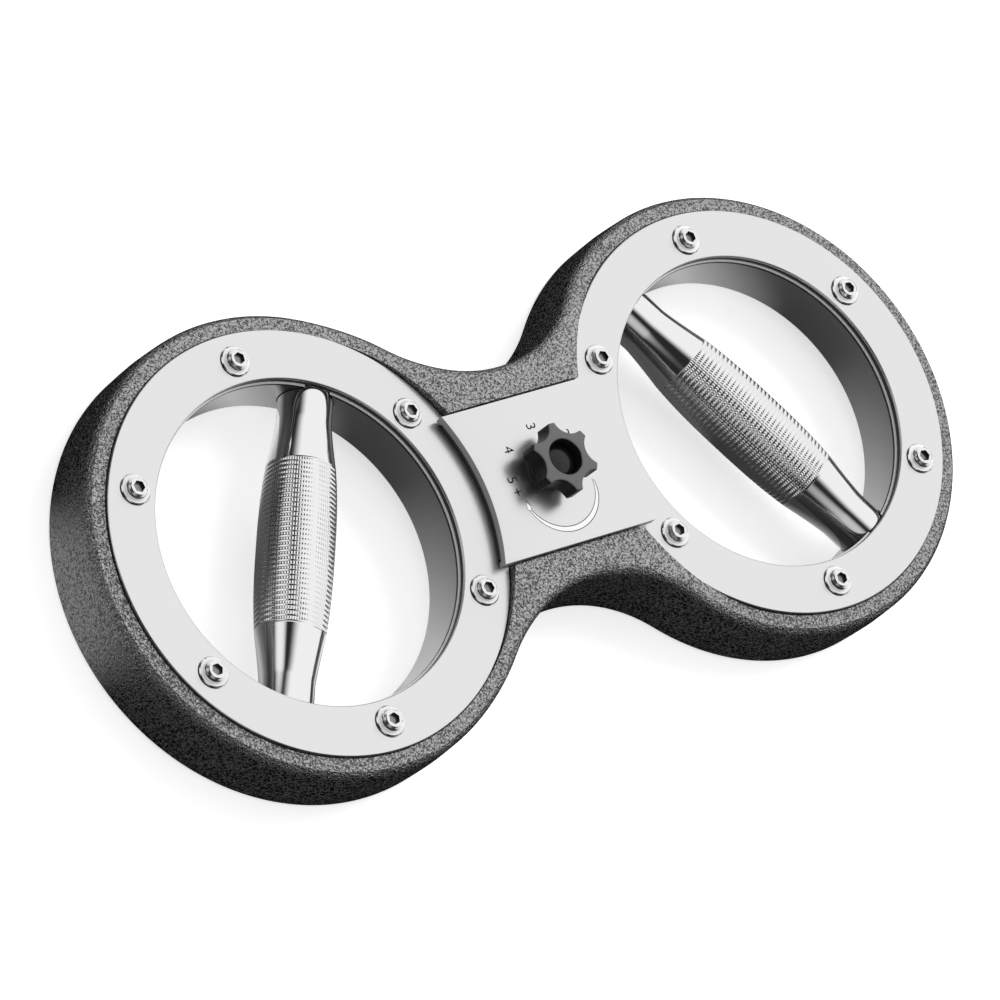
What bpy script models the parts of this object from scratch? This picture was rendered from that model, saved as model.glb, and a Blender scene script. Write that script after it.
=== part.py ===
"""Hand gripper for wrist and forearm training: two knurled grips turn inside a figure-eight body.

Each grip is bolted across a round drum. The drum and the bright ring on its front turn together in
a bearing in the cast body, and a plate between the two rings is screwed down on both of their rims
with a star knob, which sets how hard the grips are to turn.

Units are metres, +Z points out of the front, and the body's flat back lies in the plane Z = 0.
The origin is midway between the two grips, and the left grip is on the -X side.
"""

import math

import bmesh
import bpy
from mathutils import Matrix, Vector

# Layout
RING_APART = 0.0529  # from one front ring's rim to the other's, across the waist
ROTOR_DEPTH = 0.0262  # from the ring's front face to the drum's rear face
REAR_RECESS = 0.0068  # from the plane of the body's back to the drum's rear face
GRIP_ANGLE = math.radians(60)  # the left grip from +X; the right one is its mirror image

# Fits
SEAT_GAP = 0.0003  # between pieces that rest on each other
RUNNING_GAP = 0.0005  # between pieces that turn on each other
RIM_GAP = 0.0005  # between a ring's rim and the body around it
HOLE_GAP = 0.0004  # round a screw's thread in its hole

# Front ring
RING_OUTER_R = 0.085
RING_WIDTH = 0.020
RING_THICKNESS = 0.0032
SCREW_INSET = 0.011  # from the ring's rim in to the middle of its screws
SCREW_COUNT = 6
FIRST_SCREW_ANGLE = math.radians(30)

# Width of a socket's round mouth, as a share of the socket's width across flats
SOCKET_MOUTH = 0.66

# Button-head screws of the rings, M6
SCREW_THREAD_R = 0.003
SCREW_HEAD_R = 0.00525
SCREW_HEAD_HEIGHT = 0.0033
SCREW_HEAD_RIM = 0.0007  # upright edge of the head, below its dome
SCREW_SHOULDER_R = 0.0038  # where the dome is SCREW_SHOULDER_DROP below its top
SCREW_SHOULDER_DROP = 0.0007
SCREW_LENGTH = 0.012
SCREW_SOCKET_WIDTH = 0.004
SCREW_SOCKET_DEPTH = 0.0018

# Drum
DRUM_STEP = 0.0004  # how far the drum's bore stands in from the ring's
DRUM_SHOULDER = 0.0050  # how far the ring and the rear flange stand out over the drum's wall
DRUM_FLANGE = 0.0032  # thickness of its rear flange, as wide as the ring
DRUM_CHAMFER = 0.0008
SCREW_HOLE_DEPTH = 0.011

# Bearing of each drum
LINER_WALL = 0.0018
WASHER_THICKNESS = 0.0008

# Grip
GRIP_MIDDLE_R = 0.0149
GRIP_END_R = 0.0106
KNURL_END_R = 0.0134
GRIP_STRAIGHT = 0.019  # half the length of the straight middle
GRIP_CROWN = 0.0275  # from the middle to where it starts to narrow more
GRIP_CROWN_R = 0.0142
KNURL_HALF = 0.034  # half the length of the knurled part
CONE_END = 0.054  # from the middle to where the cone meets the round end
GRIP_HOLE_DEPTH = 0.022

# Bolts that hold the grips, M8
GRIP_BOLT_R = 0.004
GRIP_BOLT_HEAD_R = 0.0065
GRIP_BOLT_HEAD = 0.0055
GRIP_BOLT_SOCKET_WIDTH = 0.005
GRIP_BOLT_SOCKET_DEPTH = 0.0025
GRIP_BOLT_REACH = 0.020  # how deep it goes into the grip

# Body
RIM_WIDTH = 0.0078  # from the ring's rim out to the body's side
WAIST_HALF_WIDTH = 0.045
RIM_BELOW_RING = 0.0013  # from the ring's front face down to the body beside it
WAIST_ABOVE_RING = 0.0042
WAIST_FLAT_X = 0.021  # half the length of the waist's level top
RAMP_FOOT_X = 0.073  # where the ramp from the waist reaches the rim's level
RIM_BAND = 0.007
RIM_EDGE = 0.0026  # how far in from the side the rim's rounding starts
RIM_SLOPE_DROP = 0.0018
RIM_EDGE_DROP = 0.0062
WAIST_EDGE = 0.0045
SIDE_BULGE = 0.0006
BULGE_PLACE = 0.45  # share of the side wall above the bulge's widest line
BACK_FLARE = 0.0003
BACK_EDGE = 0.0016

# Brake plate and its linings
PLATE_ABOVE_RING = 0.0054  # from the ring's front face up to the plate's top
PLATE_THICKNESS = 0.0042
PLATE_HALF_WIDTH = 0.0308
PLATE_OVERLAP = 0.0047  # how far it reaches over each ring
PLATE_POCKET_GAP = 0.0011
POCKET_FLOOR_GAP = 0.0010  # below the plate, so that only the linings touch
LINING_THICKNESS = 0.0016
LINING_WIDTH = 0.0040
LINING_HALF_ANGLE = math.radians(20)

# Clamp bolt, lift spring and washer
CLAMP_BOLT_R = 0.004
CLAMP_HEAD_R = 0.0065
CLAMP_HEAD_HEIGHT = 0.008
CLAMP_HEAD_RECESS = 0.0012
CLAMP_SOCKET_WIDTH = 0.006
CLAMP_SOCKET_DEPTH = 0.004
SPRING_R = 0.0060
SPRING_WIRE_R = 0.0006
SPRING_TURNS = 4
SPRING_WELL_R = 0.0080
SPRING_WELL_DEPTH = 0.008
KNOB_WASHER_R = 0.0090
KNOB_WASHER_THICKNESS = 0.0012

# Star knob
KNOB_ABOVE_RING = 0.0178  # from the ring's front face up to the knob's top
KNOB_LOBES = 6
KNOB_TIP_R = 0.0142
KNOB_VALLEY_R = 0.0103
KNOB_TIP_HALF_ANGLE = math.radians(6.5)
KNOB_LOBE_HEIGHT = 0.0086
KNOB_HUB_R = 0.0082
KNOB_EDGE = 0.0006
KNOB_RECESS_R = 0.0068
KNOB_RECESS_DEPTH = 0.0050
INSERT_R = 0.0055
INSERT_LENGTH = 0.0052
CAP_THICKNESS = 0.0012
CAP_CROWN = 0.0012

# Facets
ROUND = 48
SMALL_ROUND = 24
SCREW_ROUND = 12
RIM_STEPS = 20
FILLET_STEPS = 10
HOLLOW_STEPS = 6
WIRE_SIDES = 6
WIRE_STEPS = 12  # per turn of the spring

# Heights that follow
FACE_Z = REAR_RECESS + ROTOR_DEPTH
GRIP_Z = REAR_RECESS + ROTOR_DEPTH / 2
RING_UNDER_Z = FACE_Z - RING_THICKNESS
DRUM_TOP_Z = RING_UNDER_Z - SEAT_GAP
FLANGE_TOP_Z = REAR_RECESS + DRUM_FLANGE
FRONT_SEAT_Z = RING_UNDER_Z - WASHER_THICKNESS - 2 * SEAT_GAP
REAR_SEAT_Z = FLANGE_TOP_Z + WASHER_THICKNESS + 2 * SEAT_GAP
RIM_Z = FACE_Z - RIM_BELOW_RING
WAIST_Z = FACE_Z + WAIST_ABOVE_RING
PLATE_TOP_Z = FACE_Z + PLATE_ABOVE_RING
PLATE_UNDER_Z = PLATE_TOP_Z - PLATE_THICKNESS
POCKET_FLOOR_Z = PLATE_UNDER_Z - POCKET_FLOOR_GAP
WELL_FLOOR_Z = POCKET_FLOOR_Z - SPRING_WELL_DEPTH
KNOB_TOP_Z = FACE_Z + KNOB_ABOVE_RING
LOBE_BASE_Z = KNOB_TOP_Z - KNOB_LOBE_HEIGHT
RECESS_FLOOR_Z = KNOB_TOP_Z - KNOB_RECESS_DEPTH
WASHER_TOP_Z = PLATE_TOP_Z + SEAT_GAP + KNOB_WASHER_THICKNESS
HUB_BASE_Z = WASHER_TOP_Z + SEAT_GAP
CLAMP_HEAD_TOP_Z = CLAMP_HEAD_RECESS + CLAMP_HEAD_HEIGHT

# Radii and places that follow
RING_INNER_R = RING_OUTER_R - RING_WIDTH
SCREW_CIRCLE_R = RING_OUTER_R - SCREW_INSET
DRUM_INNER_R = RING_INNER_R - DRUM_STEP
DRUM_OUTER_R = RING_OUTER_R - DRUM_SHOULDER
BODY_RIM_R = RING_OUTER_R + RIM_WIDTH
PLATE_ARC_R = RING_OUTER_R - PLATE_OVERLAP
AXIS_X = RING_OUTER_R + RING_APART / 2
POCKET_R = RING_OUTER_R + RIM_GAP
BEARING_R = DRUM_OUTER_R + RUNNING_GAP
LINER_OUTER_R = BEARING_R + LINER_WALL
BORE_R = LINER_OUTER_R + SEAT_GAP
GRIP_END = math.sqrt(DRUM_INNER_R**2 - GRIP_END_R**2) - SEAT_GAP
GRIP_BOLT_SEAT_R = DRUM_OUTER_R - GRIP_BOLT_HEAD - 2 * RUNNING_GAP


def material(name, colour, roughness, metallic):
    made = bpy.data.materials.new(name)
    made.use_nodes = True
    shader = made.node_tree.nodes["Principled BSDF"]
    shader.inputs["Base Color"].default_value = (*colour, 1)
    shader.inputs["Roughness"].default_value = roughness
    shader.inputs["Metallic"].default_value = metallic
    made.diffuse_color = (*colour, 1)
    return made


def clear_scene():
    for old in list(bpy.data.objects):
        bpy.data.objects.remove(old)


def solid(name, bm, coat=None, place=None, parent=None, sharp=35):
    """Turns a bmesh into an object: normals out, round faces smooth, edges past the angle sharp."""
    bmesh.ops.recalc_face_normals(bm, faces=bm.faces)
    mesh = bpy.data.meshes.new(name)
    bm.to_mesh(mesh)
    bm.free()
    mesh.shade_smooth()
    mesh.set_sharp_from_angle(angle=math.radians(sharp))
    if coat:
        mesh.materials.append(coat)
    return put(name, mesh, place, parent)


def put(name, mesh, place=None, parent=None):
    made = bpy.data.objects.new(name, mesh)
    bpy.context.collection.objects.link(made)
    made.parent = parent
    if place:
        made.matrix_local = place
    return made


def loft(loops, first_cap=True, last_cap=True):
    """Joins loops of points of one length with quads. Each end is closed by one face."""
    bm = bmesh.new()
    rows = [[bm.verts.new(point) for point in loop] for loop in loops]
    for lower, upper in zip(rows, rows[1:]):
        for i in range(len(lower)):
            j = (i + 1) % len(lower)
            bm.faces.new((lower[i], lower[j], upper[j], upper[i]))
    if first_cap:
        bm.faces.new(rows[0])
    if last_cap:
        bm.faces.new(rows[-1])
    return bm, rows


def circle(radius, z, count, start=0.0):
    turn = 2 * math.pi / count
    return [
        (radius * math.cos(start + i * turn), radius * math.sin(start + i * turn), z)
        for i in range(count)
    ]


def turned(profile, count, start=0.0):
    """A closed round solid from (radius, height) points that run from end to end."""
    return loft([circle(radius, z, count, start) for radius, z in profile])[0]


def cutter_solid(name, profile, count, place=None, parent=None):
    """A round cutter, turned half a facet so that its corners stay off the edges that it cuts."""
    return solid(name, turned(profile, count, math.pi / count), None, place, parent)


def tube(profile, count):
    """A closed ring from a closed profile of (radius, height) points."""
    first = profile[0]
    bm, rows = loft([circle(r, z, count) for r, z in [*profile, first]], False, False)
    bmesh.ops.remove_doubles(bm, verts=rows[0] + rows[-1], dist=1e-6)
    return bm


def ring_profile(inner, outer, low, high):
    return [(inner, low), (outer, low), (outer, high), (inner, high)]


def cut(target, *cutters):
    """Takes each cutter away from the target, and keeps it as a wire guide."""
    for cutter in cutters:
        cutter.hide_render = True
        cutter.display_type = "WIRE"
        modifier = target.modifiers.new(cutter.name, "BOOLEAN")
        modifier.operation = "DIFFERENCE"
        modifier.solver = "EXACT"
        modifier.object = cutter


def plug(name, radius, low, high, place=None, parent=None, count=SMALL_ROUND):
    return cutter_solid(name, [(radius, low), (radius, high)], count, place, parent)


def axis_empty(name, place, parent=None):
    empty = bpy.data.objects.new(name, None)
    empty.empty_display_size = RING_WIDTH
    bpy.context.collection.objects.link(empty)
    empty.location = place
    empty.parent = parent
    return empty


def blend(share, low, high):
    return low + (high - low) * share


def waist_share(x):
    """0 round the rings, 1 on the waist's level top, and a smooth ramp between them."""
    t = (RAMP_FOOT_X - abs(x)) / (RAMP_FOOT_X - WAIST_FLAT_X)
    t = min(max(t, 0.0), 1.0)
    return t * t * (3 - 2 * t)


def body_outline(inset):
    """The figure-eight outline, moved in by inset: two circles joined by a hollow arc on each side."""
    rim = BODY_RIM_R
    fillet = (AXIS_X**2 + WAIST_HALF_WIDTH**2 - rim**2) / (2 * (rim - WAIST_HALF_WIDTH))
    fillet_y = WAIST_HALF_WIDTH + fillet
    tangent = math.atan2(fillet_y, -AXIS_X)
    quarter = []
    for i in range(RIM_STEPS + 1):
        a = tangent * i / RIM_STEPS
        quarter.append(
            (AXIS_X + (rim - inset) * math.cos(a), (rim - inset) * math.sin(a))
        )
    start = math.atan2(-fillet_y, AXIS_X)
    for i in range(1, FILLET_STEPS + 1):
        a = blend(i / FILLET_STEPS, start, -math.pi / 2)
        quarter.append(
            ((fillet + inset) * math.cos(a), fillet_y + (fillet + inset) * math.sin(a))
        )
    upper = quarter + [(-x, y) for x, y in reversed(quarter[:-1])]
    lower = [(x, -y) for x, y in reversed(upper[1:-1])]
    return upper + lower


def body_top(x):
    return blend(waist_share(x), RIM_Z, WAIST_Z)


def body_front_loop(inset_rim, inset_waist, drop_rim, drop_waist):
    """One loop of the rounded front edge. Inset and drop change from the rims to the waist."""
    outer = body_outline(0)
    inner = body_outline(RIM_BAND)
    loop = []
    for (ox, oy), (ix, iy) in zip(outer, inner):
        waist = waist_share(ox)
        share = blend(waist, inset_rim, inset_waist) / RIM_BAND
        x = blend(share, ox, ix)
        y = blend(share, oy, iy)
        loop.append((x, y, body_top(x) - blend(waist, drop_rim, drop_waist)))
    return loop


def body_side_loop(outset, z_share, low, edge_drop):
    """One loop of the side wall, between the front edge and the height low."""
    loop = []
    for (x, y), (sx, sy) in zip(body_outline(0), body_outline(-outset)):
        waist = waist_share(x)
        top = body_top(x) - blend(waist, RIM_SLOPE_DROP + RIM_EDGE_DROP, edge_drop)
        loop.append((sx, sy, blend(z_share, top, low)))
    return loop


def close_ruled(bm, row):
    """Closes a loop that mirrors itself across Y = 0 with strips that run along Y."""
    n = len(row)
    half = n // 2
    bm.faces.new((row[0], row[1], row[n - 1]))
    for i in range(1, half - 1):
        bm.faces.new((row[i], row[i + 1], row[n - i - 1], row[n - i]))
    bm.faces.new((row[half - 1], row[half], row[half + 1]))


def make_body(coat):
    loops = [body_front_loop(RIM_BAND, RIM_BAND, 0, 0)]
    for degrees in (0, 30, 60, 90):
        a = math.radians(degrees)
        inset = 1 - math.sin(a)
        fall = 1 - math.cos(a)
        loops.append(
            body_front_loop(
                RIM_EDGE * inset,
                WAIST_EDGE * inset,
                RIM_SLOPE_DROP + RIM_EDGE_DROP * fall,
                WAIST_EDGE * fall,
            )
        )
    loops.append(body_side_loop(SIDE_BULGE, BULGE_PLACE, BACK_EDGE, WAIST_EDGE))
    loops.append(body_side_loop(BACK_FLARE, 1.0, BACK_EDGE, WAIST_EDGE))
    loops.append([(x, y, 0.0) for x, y in body_outline(BACK_EDGE - BACK_FLARE)])
    bm, rows = loft(loops, False, False)
    close_ruled(bm, rows[0])
    close_ruled(bm, rows[-1])
    body = solid("frame", bm, coat, sharp=40)
    above = KNOB_TOP_Z
    below = -BACK_EDGE
    for side, x in (("left", -AXIS_X), ("right", AXIS_X)):
        steps = [
            (POCKET_R, below),
            (POCKET_R, REAR_SEAT_Z),
            (BORE_R, REAR_SEAT_Z),
            (BORE_R, FRONT_SEAT_Z),
            (POCKET_R, FRONT_SEAT_Z),
            (POCKET_R, above),
        ]
        place = Matrix.Translation((x, 0, 0))
        cut(body, cutter_solid(f"{side}_bearing_cutter", steps, ROUND, place))
    cut(body, plate_pocket_cutter(above), clamp_hole_cutter(below))
    return body


def plate_pocket_cutter(above):
    reach = AXIS_X - RING_INNER_R
    wide = PLATE_HALF_WIDTH + PLATE_POCKET_GAP
    base = [(-reach, -wide), (reach, -wide), (reach, wide), (-reach, wide)]
    loops = [[(x, y, z) for x, y in base] for z in (POCKET_FLOOR_Z, above)]
    return solid("plate_pocket_cutter", loft(loops)[0])


def clamp_hole_cutter(below):
    head = CLAMP_HEAD_R + 2 * SEAT_GAP
    shank = CLAMP_BOLT_R + HOLE_GAP
    steps = [
        (head, below),
        (head, CLAMP_HEAD_TOP_Z + SEAT_GAP),
        (shank, CLAMP_HEAD_TOP_Z + SEAT_GAP),
        (shank, WELL_FLOOR_Z),
        (SPRING_WELL_R, WELL_FLOOR_Z),
        (SPRING_WELL_R, POCKET_FLOOR_Z + SPRING_WELL_DEPTH / 2),
    ]
    return cutter_solid("clamp_hole_cutter", steps, SMALL_ROUND)


def make_bearing(side, x, brass, nylon):
    """The liner that the drum turns in, and the two washers that its flange and ring turn on."""
    place = Matrix.Translation((x, 0, 0))
    liner = ring_profile(
        BEARING_R, LINER_OUTER_R, REAR_SEAT_Z + SEAT_GAP, FRONT_SEAT_Z - SEAT_GAP
    )
    solid(f"{side}_bearing_liner", tube(liner, ROUND), brass, place)
    for end, low in (
        ("rear", FLANGE_TOP_Z + SEAT_GAP),
        ("front", FRONT_SEAT_Z + SEAT_GAP),
    ):
        washer = ring_profile(
            BEARING_R, RING_OUTER_R - SEAT_GAP, low, low + WASHER_THICKNESS
        )
        solid(f"{side}_{end}_washer", tube(washer, ROUND), nylon, place)


def screw_places():
    step = 2 * math.pi / SCREW_COUNT
    for i in range(SCREW_COUNT):
        a = FIRST_SCREW_ANGLE + i * step
        yield i + 1, a, Vector(
            (SCREW_CIRCLE_R * math.cos(a), SCREW_CIRCLE_R * math.sin(a), 0)
        )


def hexagon(width, z, count):
    """A hexagon of this width across flats, with count points that lie on its sides."""
    loop = []
    for x, y, _ in circle(1.0, z, count):
        a = math.atan2(y, x)
        off = (a + math.pi / 6) % (math.pi / 3) - math.pi / 6
        r = width / 2 / math.cos(off)
        loop.append((r * x, r * y, z))
    return loop


def socket_screw(profile, width, depth, count):
    """A turned screw from its tip to the socket's mouth, with a hexagonal socket in its head."""
    loops = [circle(r, z, count) for r, z in profile]
    mouth = profile[-1][1]
    loops.append(hexagon(width, mouth, count))
    loops.append(hexagon(width, mouth - depth, count))
    return loft(loops)[0]


def button_screw_mesh(coat):
    """An M6 button-head screw that stands on Z = 0 with its head up."""
    mouth_r = SCREW_SOCKET_WIDTH * SOCKET_MOUTH
    profile = [
        (SCREW_THREAD_R, -SCREW_LENGTH),
        (SCREW_THREAD_R, 0),
        (SCREW_HEAD_R, 0),
        (SCREW_HEAD_R, SCREW_HEAD_RIM),
        (SCREW_SHOULDER_R, SCREW_HEAD_HEIGHT - SCREW_SHOULDER_DROP),
        (mouth_r, SCREW_HEAD_HEIGHT),
    ]
    bm = socket_screw(profile, SCREW_SOCKET_WIDTH, SCREW_SOCKET_DEPTH, SCREW_ROUND)
    guide = solid("button_screw", bm, coat)
    mesh = guide.data
    bpy.data.objects.remove(guide)
    return mesh


def make_ring(side, axis, coat, screw):
    """The bright front ring and its screws."""
    profile = ring_profile(RING_INNER_R, RING_OUTER_R, RING_UNDER_Z, FACE_Z)
    ring = solid(f"{side}_front_ring", tube(profile, ROUND), coat, parent=axis)
    for number, angle, place in screw_places():
        spot = Matrix.Translation(place)
        hole = plug(
            f"{side}_ring_hole_{number}",
            SCREW_THREAD_R + HOLE_GAP,
            DRUM_TOP_Z,
            FACE_Z + SEAT_GAP,
            spot,
            axis,
            SCREW_ROUND,
        )
        cut(ring, hole)
        seat = Matrix.Translation(place + Vector((0, 0, FACE_Z + SEAT_GAP)))
        turn = Matrix.Rotation(angle, 4, "Z")
        put(f"{side}_front_screw_{number}", screw, seat @ turn, axis)
    return ring


def across(angle):
    """The frame of a piece that lies along a grip: its own Z runs out from the axis."""
    lift = Matrix.Translation((0, 0, GRIP_Z))
    return lift @ Matrix.Rotation(angle, 4, "Z") @ Matrix.Rotation(math.pi / 2, 4, "Y")


def make_drum(side, axis, angle, coat):
    """The sleeve that turns in the bearing, with a rear flange, screw holes and two grip seats."""
    c = DRUM_CHAMFER
    profile = [
        (DRUM_INNER_R + c, REAR_RECESS),
        (RING_OUTER_R, REAR_RECESS),
        (RING_OUTER_R, FLANGE_TOP_Z),
        (DRUM_OUTER_R, FLANGE_TOP_Z),
        (DRUM_OUTER_R, DRUM_TOP_Z),
        (DRUM_INNER_R + c, DRUM_TOP_Z),
        (DRUM_INNER_R, DRUM_TOP_Z - c),
        (DRUM_INNER_R, REAR_RECESS + c),
    ]
    drum = solid(f"{side}_drum", tube(profile, ROUND), coat, parent=axis)
    for number, _, place in screw_places():
        hole = plug(
            f"{side}_drum_hole_{number}",
            SCREW_THREAD_R + HOLE_GAP,
            DRUM_TOP_Z - SCREW_HOLE_DEPTH,
            RING_UNDER_Z,
            Matrix.Translation(place),
            axis,
            SCREW_ROUND,
        )
        cut(drum, hole)
    for end, turn in (("upper", 0), ("lower", math.pi)):
        steps = [
            (GRIP_BOLT_R + HOLE_GAP, GRIP_END),
            (GRIP_BOLT_R + HOLE_GAP, GRIP_BOLT_SEAT_R),
            (GRIP_BOLT_HEAD_R + HOLE_GAP, GRIP_BOLT_SEAT_R),
            (GRIP_BOLT_HEAD_R + HOLE_GAP, LINER_OUTER_R),
        ]
        name = f"{side}_{end}_bolt_cutter"
        cut(drum, cutter_solid(name, steps, SMALL_ROUND, across(angle + turn), axis))
    return drum


def grip_profile():
    """Half of the grip's turned shape, from the middle out: straight, crowned, coned and round."""
    return [
        (GRIP_MIDDLE_R, GRIP_STRAIGHT),
        (GRIP_CROWN_R, GRIP_CROWN),
        (KNURL_END_R, KNURL_HALF),
        (GRIP_END_R, CONE_END),
        (GRIP_END_R, GRIP_END),
        (GRIP_BOLT_R + HOLE_GAP, GRIP_END),
        (GRIP_BOLT_R + HOLE_GAP, GRIP_END - GRIP_HOLE_DEPTH),
    ]


def make_grip(side, axis, angle, chrome, steel):
    """The grip across the drum, and the bolt that holds each of its ends."""
    half = grip_profile()
    profile = [(r, -z) for r, z in reversed(half)] + half
    bm = turned(profile, SMALL_ROUND)
    solid(f"{side}_grip", bm, chrome, across(angle), axis)
    seat = GRIP_BOLT_SEAT_R + SEAT_GAP
    bolt = [
        (GRIP_BOLT_R, GRIP_END - GRIP_BOLT_REACH),
        (GRIP_BOLT_R, seat),
        (GRIP_BOLT_HEAD_R, seat),
        (GRIP_BOLT_HEAD_R, seat + GRIP_BOLT_HEAD),
        (GRIP_BOLT_SOCKET_WIDTH * SOCKET_MOUTH, seat + GRIP_BOLT_HEAD),
    ]
    for end, turn in (("upper", 0), ("lower", math.pi)):
        bm = socket_screw(
            bolt, GRIP_BOLT_SOCKET_WIDTH, GRIP_BOLT_SOCKET_DEPTH, SCREW_ROUND
        )
        place = across(angle + turn)
        solid(f"{side}_{end}_grip_bolt", bm, steel, place, axis)


def hollow_side(radius, x, half_angle, steps):
    """Points of an arc round the axis at x that faces the middle of the gripper, from -Y to +Y."""
    points = []
    for i in range(steps + 1):
        a = blend(i / steps, -half_angle, half_angle)
        points.append((x - math.copysign(radius, x) * math.cos(a), radius * math.sin(a)))
    return points


def make_brake_plate(coat, lining):
    """The plate between the rings, with straight edges up and down and a hollow side to each ring."""
    half_angle = math.asin(PLATE_HALF_WIDTH / PLATE_ARC_R)
    right = hollow_side(PLATE_ARC_R, AXIS_X, half_angle, FILLET_STEPS)
    left = hollow_side(PLATE_ARC_R, -AXIS_X, half_angle, FILLET_STEPS)
    outline = right + left[::-1]
    loops = [[(x, y, z) for x, y in outline] for z in (PLATE_UNDER_Z, PLATE_TOP_Z)]
    axis = axis_empty("brake_plate_axis", (0, 0, 0))
    plate = solid("brake_plate", loft(loops)[0], coat, parent=axis)
    hole = plug(
        "plate_hole_cutter",
        CLAMP_BOLT_R + HOLE_GAP,
        POCKET_FLOOR_Z,
        PLATE_TOP_Z + SEAT_GAP,
    )
    cut(plate, hole)
    inner = PLATE_ARC_R + SEAT_GAP
    outer = inner + LINING_WIDTH
    low = FACE_Z + SEAT_GAP
    margin = SEAT_GAP / PLATE_ARC_R
    for side, x in (("left", -AXIS_X), ("right", AXIS_X)):
        pad = pad_loops(x, inner, outer, LINING_HALF_ANGLE, low, low + LINING_THICKNESS)
        solid(f"{side}_brake_lining", loft(pad)[0], lining, parent=axis)
        seat = pad_loops(
            x,
            PLATE_ARC_R - LINING_WIDTH,
            outer + SEAT_GAP,
            LINING_HALF_ANGLE + margin,
            POCKET_FLOOR_Z,
            low + LINING_THICKNESS + SEAT_GAP,
        )
        cut(plate, solid(f"{side}_lining_cutter", loft(seat)[0]))
    washer = ring_profile(
        CLAMP_BOLT_R + HOLE_GAP, KNOB_WASHER_R, PLATE_TOP_Z + SEAT_GAP, WASHER_TOP_Z
    )
    return axis, washer


def pad_loops(x, inner, outer, half_angle, low, high):
    """An arc-shaped pad round the axis at x, as its outline at two heights."""
    near = hollow_side(inner, x, half_angle, FILLET_STEPS)
    far = hollow_side(outer, x, half_angle, FILLET_STEPS)
    outline = near + far[::-1]
    return [[(px, py, z) for px, py in outline] for z in (low, high)]


def make_clamp_bolt(steel):
    """The bolt that comes through the body's back and carries the knob."""
    tip = RECESS_FLOOR_Z - SEAT_GAP
    profile = [
        (CLAMP_BOLT_R, tip),
        (CLAMP_BOLT_R, CLAMP_HEAD_TOP_Z),
        (CLAMP_HEAD_R, CLAMP_HEAD_TOP_Z),
        (CLAMP_HEAD_R, CLAMP_HEAD_RECESS),
        (CLAMP_SOCKET_WIDTH * SOCKET_MOUTH, CLAMP_HEAD_RECESS),
    ]
    bm = socket_screw(profile, CLAMP_SOCKET_WIDTH, -CLAMP_SOCKET_DEPTH, SMALL_ROUND)
    solid("clamp_bolt", bm, steel)


def make_lift_spring(steel):
    """A coil round the bolt that lifts the plate off the rings when the knob is loosened."""
    low = WELL_FLOOR_Z + SEAT_GAP + SPRING_WIRE_R
    high = PLATE_UNDER_Z - SEAT_GAP - SPRING_WIRE_R
    steps = SPRING_TURNS * WIRE_STEPS
    loops = []
    for i in range(steps + 1):
        a = 2 * math.pi * SPRING_TURNS * i / steps
        z = blend(i / steps, low, high)
        loop = []
        for j in range(WIRE_SIDES):
            b = 2 * math.pi * j / WIRE_SIDES
            r = SPRING_R + SPRING_WIRE_R * math.cos(b)
            loop.append(
                (r * math.cos(a), r * math.sin(a), z + SPRING_WIRE_R * math.sin(b))
            )
        loops.append(loop)
    solid("lift_spring", loft(loops)[0], steel)


def star_points():
    """The knob's outline: round hollows between six blunt lobes."""
    step = 2 * math.pi / KNOB_LOBES
    reach = step / 2 - KNOB_TIP_HALF_ANGLE
    cos = math.cos(reach)
    centre = (KNOB_TIP_R**2 - KNOB_VALLEY_R**2) / (2 * (KNOB_TIP_R * cos - KNOB_VALLEY_R))
    hollow = centre - KNOB_VALLEY_R
    swing = math.atan2(KNOB_TIP_R * math.sin(reach), centre - KNOB_TIP_R * cos)
    points = []
    for lobe in range(KNOB_LOBES):
        middle = lobe * step
        for i in range(HOLLOW_STEPS + 1):
            b = blend(i / HOLLOW_STEPS, -swing, swing)
            x = centre - hollow * math.cos(b)
            y = hollow * math.sin(b)
            points.append(
                (
                    x * math.cos(middle) - y * math.sin(middle),
                    x * math.sin(middle) + y * math.cos(middle),
                )
            )
    return points


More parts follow.
